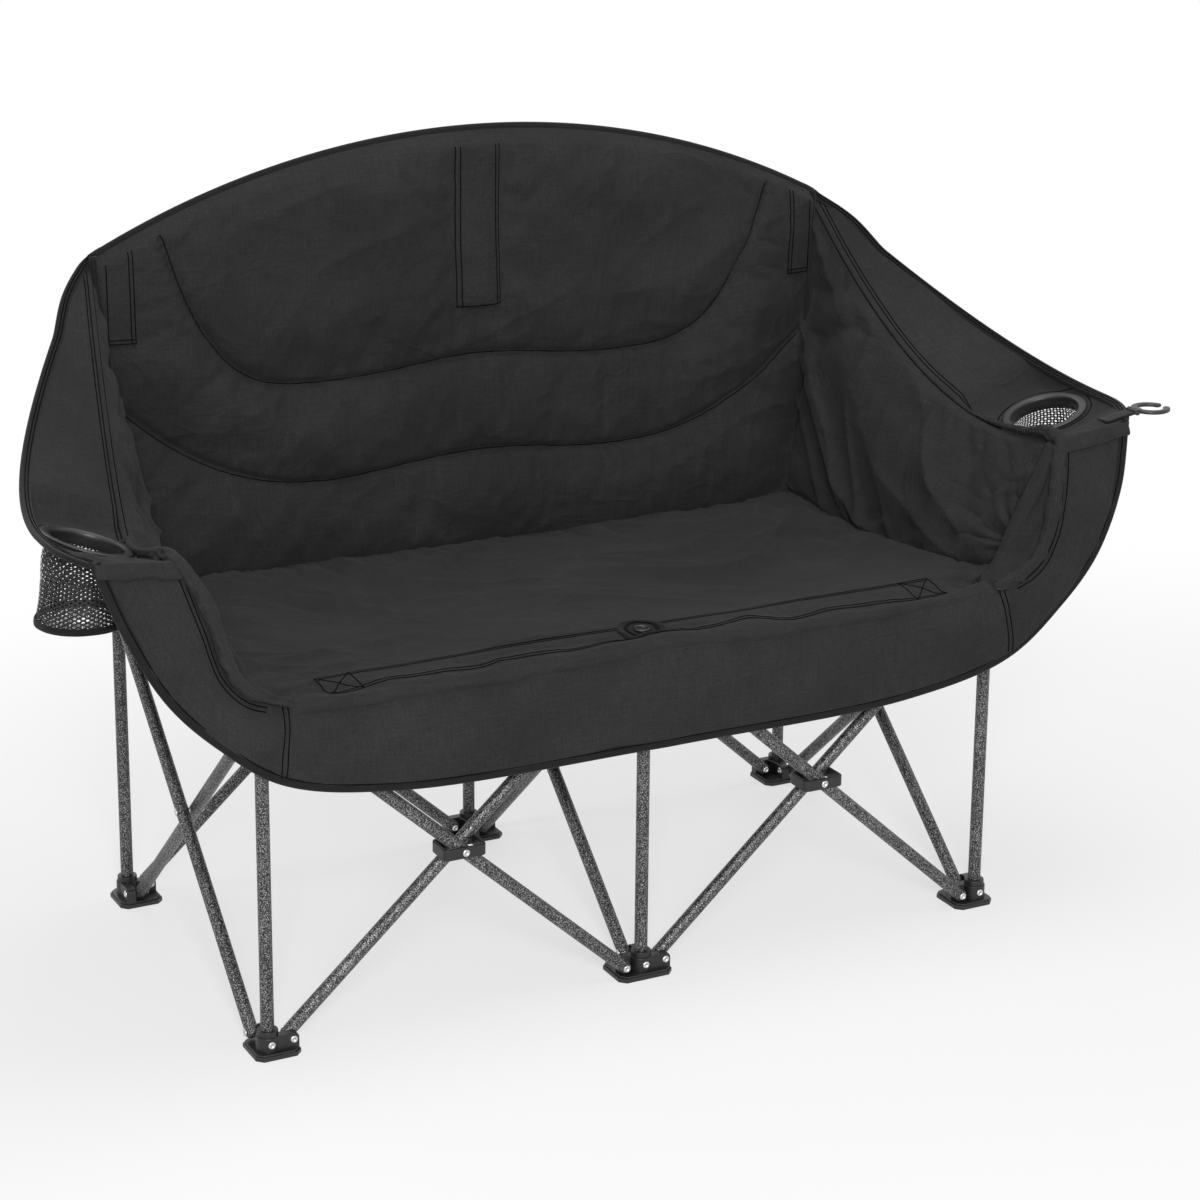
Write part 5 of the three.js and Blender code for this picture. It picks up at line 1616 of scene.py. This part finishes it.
section = [(halfWide * swollen(math.cos(t), 0.7), glassSet["halfThick"] * swollen(math.sin(t), 0.8))
           for t in np.linspace(0, 2 * math.pi, 20, endpoint=False)]
tipSteps = (0.3, 0.6, 0.85, 0.98)
stations = [(angles[0] - tip * s, math.sqrt(1 - s ** 2)) for s in reversed(tipSteps)]
stations += [(angle, 1.0) for angle in angles]
stations += [(angles[-1] + tip * s, math.sqrt(1 - s ** 2)) for s in tipSteps]
places = []
for angle, size in stations:
    for radial, height in section:
        r = middle + radial * size
        places.append((ringX + r * math.cos(angle), r * math.sin(angle), height * size))
count = len(section)
faces = gridFaces(len(stations), count, wrap=True)
faces += [tuple(range(count)), tuple(range((len(stations) - 1) * count, len(stations) * count))[::-1]]
neck = prism(roundedOutline((1.0, -4.4), (11.5, 4.4), (0, 2, 2, 0)), -2.4, 2.4)
barrelPlaces, barrelFaces = roundBlock(glassSet["barrel"], -4.4, 4.4, 28)
barrel = ([(x, z, y) for x, y, z in barrelPlaces], barrelFaces)
shift = tuple(glassPivot)
holder = moulding("glass_ring", [placed(block, shift) for block in ((places, faces), neck, barrel)], plasticBlack, 0.5)
standsFor(holder, "glass_holder")
print("glass holder made")

# badge on the seat's front edge
badgeSet = {"width": 62.0, "deep": 52.0, "y": 9.0, "rows": (0.6, 0.7), "around": 96,
            "levels": ((0.25, 2.6), (0.5, 2.6), (0.74, 2.5), (0.80, 2.5), (0.83, 3.3), (0.92, 3.6), (0.98, 3.0),
                       (1.0, 1.6), (0.98, 0.2))}
badgeTree = BVHTree.FromObject(seatStrips[0], bpy.context.evaluated_depsgraph_get())


def seatHeight(x, y):
    hit = badgeTree.ray_cast(Vector((x, y, 600)) * 0.001, Vector((0, 0, -1)), 0.4)
    return hit[0].z * 1000 if hit[0] else 436.0


def badgeOutline(scale):
    outline = []
    for k in range(badgeSet["around"]):
        t = 2 * math.pi * k / badgeSet["around"]
        c, s = math.cos(t), math.sin(t)
        outline.append((badgeSet["width"] / 2 * scale * np.sign(c) * abs(c) ** 1.15,
                        badgeSet["deep"] / 2 * scale * np.sign(s) * abs(s) ** 0.95))
    return outline


badgeY, around, levels = badgeSet["y"], badgeSet["around"], badgeSet["levels"]
middleHeight = seatHeight(0, badgeY)
places = [(0, badgeY, middleHeight + 2.6)]
for scale, height in levels:
    for x, y in badgeOutline(scale):
        places.append((x, y + badgeY, seatHeight(x, y + badgeY) + height))
places.append((0, badgeY, middleHeight + 0.2))
faces = gridFaces(len(levels), around, 1, wrap=True)
last = 1 + (len(levels) - 1) * around
for k in range(around):
    faces.append((0, 1 + k, 1 + (k + 1) % around))
    faces.append((len(places) - 1, last + (k + 1) % around, last + k))
patch = upFacing(meshObject("badge_patch", places, faces, oxfordLining, [(x, y) for x, y, z in places]))
standsFor(patch, "seat_badge")
patchTree = surfaceOf(patch)
for scale in badgeSet["rows"]:
    ring = badgeOutline(scale)
    seamOn("front", patchTree, [(x, y + badgeY, 450) for x, y in ring + ring[:1]], seen=(0, 0, 1))
buttonProfile = [(0, 0), (10.4, 0), (10.9, 0.9), (10.4, 2.1), (8.8, 2.9), (7.6, 2.2), (6.8, 1.3), (5.0, 1.1), (0, 1.5)]
places, faces = turnedProfile(buttonProfile, 40)
places = [(x, y + badgeY, z + middleHeight + 2.4) for x, y, z in places]
button = upFacing(meshObject("badge_button", places, faces, plasticBlack))
goesWith(button, "front_centre_top")
print("badge made")

# front corners, rolls, bindings and seams
cornerSet = {"side": 5.0, "post": 12.6, "hollow": 13.0, "rim": 4.5, "steps": 40, "around": 56, "tape": 9.5,
             "low": 424.0, "high": 604.0, "seamTop": 599.6}


def halfHull(points):
    chain = []
    for x, y in points:
        while len(chain) > 1:
            (x0, y0), (x1, y1) = chain[-2:]
            if (x1 - x0) * (y - y0) > (y1 - y0) * (x - x0):
                break
            chain.pop()
        chain.append((x, y))
    return chain[:-1]


def hullOf(circles, count):
    # the taut loop round some circles of (x, y, radius), as evenly spaced points
    around = []
    for x, y, r in circles:
        for k in range(40):
            t = 2 * math.pi * k / 40
            around.append((x + r * math.cos(t), y + r * math.sin(t)))
    points = sorted(around)
    loop = np.array(halfHull(points) + halfHull(points[::-1]))
    loop = np.concatenate([loop, loop[:1]])
    travel = travelAlong(loop)
    # starts where the loop crosses its farthest inward point
    start = travel[np.argmin(loop[:, 0])]
    even = (start + np.linspace(0, travel[-1], count, endpoint=False)) % travel[-1]
    return atTravel(even, travel, loop)


def sweptLoops(name, loops, material):
    # a closed skin over loops of points, with its two ends shut
    rows, columns = loops.shape[:2]
    faces = gridFaces(rows, columns, wrap=True)
    faces += [tuple(range(columns)), tuple(range((rows - 1) * columns, rows * columns))[::-1]]
    uv = np.stack(np.meshgrid(travelAlong(loops[:, 0]), travelAlong(loops[rows // 2]), indexing="ij"), -1)
    uv = uv.reshape(-1, 2)
    return upFacing(meshObject(name, loops.reshape(-1, 3), faces, material, uv))


def roll(name, line, radius, material, side=16, wave=None):
    # a soft tube along a line of points; radius may be one number or one for each point
    line = np.asarray(line, float)
    radius = np.broadcast_to(np.asarray(radius, float), (len(line),))
    way = wayOf(line)
    normal = np.cross(way[0], (0.3, 0.5, 0.8))
    normal /= np.linalg.norm(normal)
    loops = []
    for i in range(len(line)):
        normal = normal - way[i] * np.dot(normal, way[i])
        normal /= np.linalg.norm(normal)
        other = np.cross(way[i], normal)
        ring = []
        for k in range(side):
            t = 2 * math.pi * k / side
            r = radius[i] + (wave(i, t) if wave else 0)
            ring.append(line[i] + normal * r * math.cos(t) + other * r * math.sin(t))
        loops.append(ring)
    return sweptLoops(name, np.array(loops), material)


def rimAt(z):
    # the point of the apron's upper edge at a height
    rising = rimHalf[np.argsort(rimHalf[:, 2])]
    return np.array([np.interp(z, rising[:, 2], rising[:, 0]), np.interp(z, rising[:, 2], rising[:, 1]), z])


def gatherPost(piece, side):
    # gives a corner piece its own copy of its mesh
    side * 0.462
    side * 0.585
    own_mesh(piece)


for sideName, side in (("left", -1), ("right", 1)):
    body = bodyOfNode[f"{sideName}_arm_top"]
    loops = []
    cornerLow = cornerSet["low"]
    for share in np.linspace(0, 1, cornerSet["steps"]):
        z = lerp(cornerLow, cornerSet["high"], share)
        rise = np.clip((z - cornerLow) / (cornerSet["seamTop"] - cornerLow), 0, 1)
        a = (lerp(539.1, 586.7, rise) + 1, 14.0)
        c = (498 + 87 * np.clip((z - 430) / 167, 0, 1), 0.0)
        b = rimAt(max(z, 446.0))
        low = 1 - smoothStep(z, cornerLow, 470)
        circles = [(*a, cornerSet["side"]), (c[0] - 7 * low, c[1] - 6 * low, cornerSet["post"] + 6.5 * low),
                   (b[0] - 1, b[1] + 1.5, cornerSet["rim"])]
        loop = hullOf(circles, cornerSet["around"])
        middle = loop.mean(axis=0)
        shrink = 1 - 0.35 * (1 - smoothStep(share, 0, 0.05)) - 0.25 * smoothStep(share, 0.96, 1)
        loop = middle + (loop - middle) * shrink
        # the cloth dips between the post's sleeve and the seams on either side of it
        fromSide, fromPost, fromRim = (np.maximum(np.hypot(loop[:, 0] - x, loop[:, 1] - y) - r, 0)
                                       for x, y, r in circles)
        halfWay = np.sin(np.pi * fromPost / (fromPost + np.minimum(fromSide, fromRim) + 1e-6)) ** 0.7
        dip = cornerSet["hollow"] * halfWay * np.sin(np.pi * rise) ** 0.4
        loop[:, 0] += dip * (loop[:, 0] < middle[0])
        angle = np.arctan2(loop[:, 1] - middle[1], loop[:, 0] - middle[0])
        crumple = (folds(angle * 26, np.full_like(angle, z), 1.2, 60, 15, 131 + side) - 0.5) * 4.2
        foot = (1 - smoothStep(z, 440, 486)) * (softNoise(angle * 4, z / 9, 133 + side) - 0.5) * 7
        loop = loop + unitRows(loop - middle) * (crumple + foot)[:, None]
        loops.append(np.stack([loop[:, 0] * side, loop[:, 1], np.full(len(loop), z)], -1))
    gusset = sweptLoops(f"{sideName}_front_corner", np.array(loops), oxford)
    refine(gusset)
    goesWith(gusset, body)
    gatherPost(gusset, side)

    # gathered roll from the cup along the fold and down the rim to the seat's corner
    path = [foldEdge(np.array(y)) + np.array([0, 0, lift])
            for y, lift in ((150, 0.5), (120, 3), (90, 5), (60, 7), (30, 8), (8, 5))]
    path += [np.array([583, -13, 609]), np.array([574, -22, 591])]
    path += [rimAt(z) + np.array([-6, -8.5, 2]) for z in (572.0, 548.0, 520.0, 496.0, 474.0, 458.0)]
    path += [np.array([488, -47, 448]), np.array([468, -46, 443])]
    line = splinePoints(path, 150) * (side, 1, 1)
    share = np.linspace(0, 1, 150)
    taper = np.sin(np.pi * np.clip(lerp(0.03, 0.98, share), 0, 1)) ** 0.35
    thick = lerp(6.4, 8.8, smoothStep(share, 0.22, 0.32)) * taper
    gather = np.exp(-((share - 0.33) / 0.05) ** 2) + np.exp(-((share - 0.93) / 0.06) ** 2)

    def gathered(i, t):
        rough = 4.2 * (softNoise(i / 5.0, t * 1.5, 141 + side) - 0.5)
        rough = rough + 1.8 * (softNoise(i / 2.0, t * 2.5, 144 + side) - 0.5)
        return rough * (0.25 + 0.75 * min(1, i / 45.0) ** 3 + 1.2 * gather[i]) + 0.9 * math.cos(2 * t + 0.4)

    collar = roll(f"{sideName}_arm_roll", line, thick, oxford, 22, gathered)
    refine(collar)
    goesWith(collar, body)
    gatherPost(collar, side)

    # turned-down lip along the front of the arm band, over the top of the apron
    share = np.linspace(0, 1, 60)
    front = armSurface(np.full(60, armSet["front"]), share)
    lip = []
    for i, spot in enumerate(front):
        drop = 16.0 + 4.5 * (softNoise(i / 9.0, 2.0, 161 + side) - 0.5)
        bulge = 4.0 + 3.4 * (softNoise(i / 5.0, 6.0, 163 + side) - 0.5)
        ring = []
        for y, z in ((6, 1.2), (-4, 1.6), (-7.2, 0.6), (-8.8, -2.0), (-9.6 - bulge, -drop * 0.6),
                     (-10.2 - bulge, -drop), (-8.2 - bulge, -drop - 0.6), (-7.0, -drop * 0.6), (-5.8, -4.5),
                     (4, -4.0)):
            ring.append((spot[0] * side, spot[1] + y, spot[2] + z))
        lip.append(ring)
    lipPiece = sweptLoops(f"{sideName}_arm_lip", np.array(lip), oxford)
    refine(lipPiece)
    goesWith(lipPiece, body)
    gatherArm(lipPiece, side)

    # binding on the outer edge
    y = np.linspace(480, -9, 190)
    edge = armEdge(y)
    edge[:, 2] -= 2.5
    way = wayOf(edge)
    inward = crosswise(unitRows(foldEdge(y) - armEdge(y)), way)
    normal = np.cross(way, inward)
    normal *= np.sign(normal[:, 2:3])
    flip = np.array([side, 1, 1])
    # it begins on the backrest's arch and turns into the arm's edge
    corner = np.linspace(498, 512, 8)
    cornerLine = np.stack([corner, np.full(8, 478.0), archTop(np.minimum(corner, 511)) + 1.6], -1)
    start = np.concatenate([cornerLine, edge - inward * 1.2])
    inward = np.concatenate([archInward(corner), inward])
    normal = np.concatenate([np.tile([0.0, -1, 0], (8, 1)), normal])
    for _ in range(6):
        for rows in (start, inward, normal):
            rows[1:23] = rows[1:23] * 0.5 + (rows[:22] + rows[2:24]) * 0.25
    inward, normal = unitRows(inward), unitRows(normal)
    tape = taped(f"{sideName}_arm_binding", start * flip, inward * flip, normal * flip, cornerSet["tape"], 6.6)
    goesWith(tape, body)
    gatherArm(tape, side)
    tapeTree = surfaceOf(tape)
    for inset in (3.8, 7.6):
        seamOn(sideName + "Arm", tapeTree, (start + inward * inset) * flip, seen=(0, 0, 1))
    # two rows beside the fold and one round the cup ring
    for inset in (7.0, 11.5):
        spots = foldEdge(np.linspace(470, 150, 200))
        toward = unitRows(armEdge(np.linspace(470, 150, 200)) - spots)
        seamOn(sideName + "Arm", arms[sideName], (spots + toward * inset) * flip, seen=(0, 0, 1))
    # the crease where the band folds over
    for drop in (1.5, 3.0):
        crease = foldEdge(np.linspace(472, 128, 200)) - np.array([0, 0, drop])
        seamOn(sideName + "Arm", sides[sideName], crease * flip, seen=(-side, -0.2, 0.1))
    t = np.linspace(0, 2 * math.pi, 90)
    ringX, ringY = 59 * np.cos(t), 59 * np.sin(t)
    circle = np.stack([cupX + ringX, cupY + ringY, cupZ + ringX * 0.2 + ringY * 0.1], -1)
    seamOn(sideName + "Arm", arms[sideName], circle * flip, seen=(0, 0, 1))
    stitched = sewSeams(sideName + "Arm", f"{sideName}_arm_stitching")
    goesWith(stitched, body)
    gatherArm(stitched, side)

    # seam between the back and the side: a cord in the darker binding tape, its dark colour partly painted shade for
    # the crease along the seam
    z = np.linspace(424, 853, 90)
    x = lerp(487.5, 511.5, (z - 419) / 432)
    depth = 458 + 14 * smoothStep(z, 700, 848)
    atHead = smoothStep(z, 720, 790)
    seamLine = np.stack([(x - 4 * (1 - atHead)) * side, depth, z], -1)

    def uneven(i, t):
        return 0.9 * (softNoise(i / 3.0, t, 151 + side) - 0.5)

    cordingWithSeamShade = roll(f"{sideName}_back_seam", seamLine, lerp(3.8, 5.0, atHead), tapeBlack, 14, uneven)
    goesWith(cordingWithSeamShade, bodyOfNode[f"{sideName}_side_panel"])
print("front corners and bindings made")

# hem of the apron, its seams and the webbing strip's stitches
hemWay = wayOf(hemLine)
hemIn = crosswise(rimLine - hemLine, hemWay)
hemStart = hemLine + np.array([0, -2.0, 0]) - hemIn
hemTape = taped("apron_hem_binding", hemStart, hemIn, np.cross(hemWay, hemIn), 10.0, 7.0)
goesWith(hemTape, "front_centre_top")
gatherFront(hemTape)
hemTree = surfaceOf(hemTape)
seamOn("apron", hemTree, hemStart + hemIn * 6.5, seen=(0, -1, 0))
for sign in (-1, 1):
    for shift in (-3.2, 3.2):
        seam = np.stack([np.linspace(477, 486, 40) * sign + shift, np.full(40, -60.0), np.linspace(446, 362, 40)], -1)
        seamOn("apron", apronTree, seam, seen=(0, -1, 0))
for drop in (6.0, 11.0):
    line = rimLine - hemIn * drop
    for sign in (-1, 1):
        seamOn("apron", apronTree, line[line[:, 0] * sign > 500], seen=(0, -1, 0))
apronStitches = sewSeams("apron", "apron_stitching")
goesWith(apronStitches, "front_centre_top")
gatherFront(apronStitches)

webLines = []
for y in (24.0, 19.5, -17.0, -21.5):
    x = np.linspace(-webEnd, webEnd, 260)
    webLines.append(np.stack([x, np.full_like(x, y), np.full_like(x, 450.0)], -1))
# a crossed box at each end
for sign in (-1, 1):
    x0, x1 = webEnd * sign, 372 * sign
    for (xa, ya), (xb, yb) in (((x0, -21), (x0, 24)), ((x1, -21), (x1, 24)), ((x0, -21), (x1, 24)),
                               ((x0, 24), (x1, -21))):
        webLines.append([(xa, ya, 450), (xb, yb, 450)])
for line in webLines:
    seamOn("front", badgeTree, line, seen=(0, 0, 1))
webStitches = sewSeams("front", "seat_stitching")
goesWith(webStitches, "front_centre_top")
gatherFront(webStitches)
print("seams sewn")


# stage and light
def aimed(place, aim):
    return (Vector(aim) - Vector(place)).to_track_quat("-Z", "Y").to_euler()


camera = linked(bpy.data.objects.new("camera", bpy.data.cameras.new("camera")))
camera.data.lens = cameraSet["lens"]
camera.data.shift_x, camera.data.shift_y = cameraSet["shift"]
a, p = cameraSet["turn"], cameraSet["down"]
ahead = Vector((-math.sin(a) * math.cos(p), math.cos(a) * math.cos(p), -math.sin(p)))
rightward = Vector((math.cos(a), math.sin(a), 0))
upward = rightward.cross(ahead)
turn = Matrix((rightward, upward, -ahead)).transposed().to_4x4()
turn.translation = Vector(cameraSet["place"])
camera.matrix_world = turn
bpy.context.scene.camera = camera

for name, spec in lightSet.items():
    lamp = bpy.data.lights.new(name, "AREA")
    lamp.shape = "RECTANGLE"
    lamp.size, lamp.size_y = spec["size"]
    lamp.energy = spec["watts"]
    holder = linked(bpy.data.objects.new(name, lamp))
    holder.location = spec["place"]
    holder.rotation_euler = aimed(spec["place"], spec["aim"])


def seenDirectly(recipe):
    # 1 for the camera's rays, reflections and what shows through, 0 for the light that falls on the object
    path = recipe.node("ShaderNodeLightPath")
    seen = path
    for other in ("Is Glossy Ray", "Is Transmission Ray"):
        ray = Wire(recipe, path.socket.node.outputs[other])
        seen = seen.maths("MAXIMUM", seen, ray)
    return seen


sky = Recipe("sky", bpy.data.worlds.new("studio"))
seen = seenDirectly(sky)
white = sky.node("ShaderNodeBackground", None, {"Color": grey(1.0), "Strength": 1.0})
soft = sky.node("ShaderNodeBackground", None, {"Color": grey(0.95), "Strength": floorSet["worldStrength"]})
both = sky.node("ShaderNodeMixShader", None, {0: seen, 1: soft, 2: white})
sky.node("ShaderNodeOutputWorld", None, {"Surface": both})
bpy.context.scene.world = sky.holder

ground = Recipe("paleFloor")
gx, gy, _ = ground.parts(ground.coordinates())
far = ((gx * gx) * 0.5 + (gy - 0.2) * (gy - 0.2)) ** 0.5
fade = ground.node("ShaderNodeMapRange", {"interpolation_type": "SMOOTHSTEP"},
                   {"Value": far, "From Min": floorSet["fadeStart"], "From Max": floorSet["fadeEnd"]})
mottle = ground.noise(ground.coordinates(), 3.0, 3.0)
tone = (mottle - 0.5) * 0.01 + floorSet["tone"]
matte = ground.node("ShaderNodeBsdfDiffuse", None, {"Color": tone})
glow = ground.node("ShaderNodeEmission", None, {"Color": grey(1.0), "Strength": 1.0})
share = (fade * (1 - floorSet["glow"]) + floorSet["glow"]) * seenDirectly(ground)
mixed = ground.node("ShaderNodeMixShader", None, {0: share, 1: matte, 2: glow})
ground.node("ShaderNodeOutputMaterial", None, {"Surface": mixed})
floor = meshObject("floor", [(-9000, -9000, 0), (9000, -9000, 0), (9000, 9000, 0), (-9000, 9000, 0)],
                   [(0, 1, 2, 3)], ground.holder, smooth=False)
bpy.context.scene.view_settings.view_transform = "Standard"

low, high = cadBox
print("stage and light set")
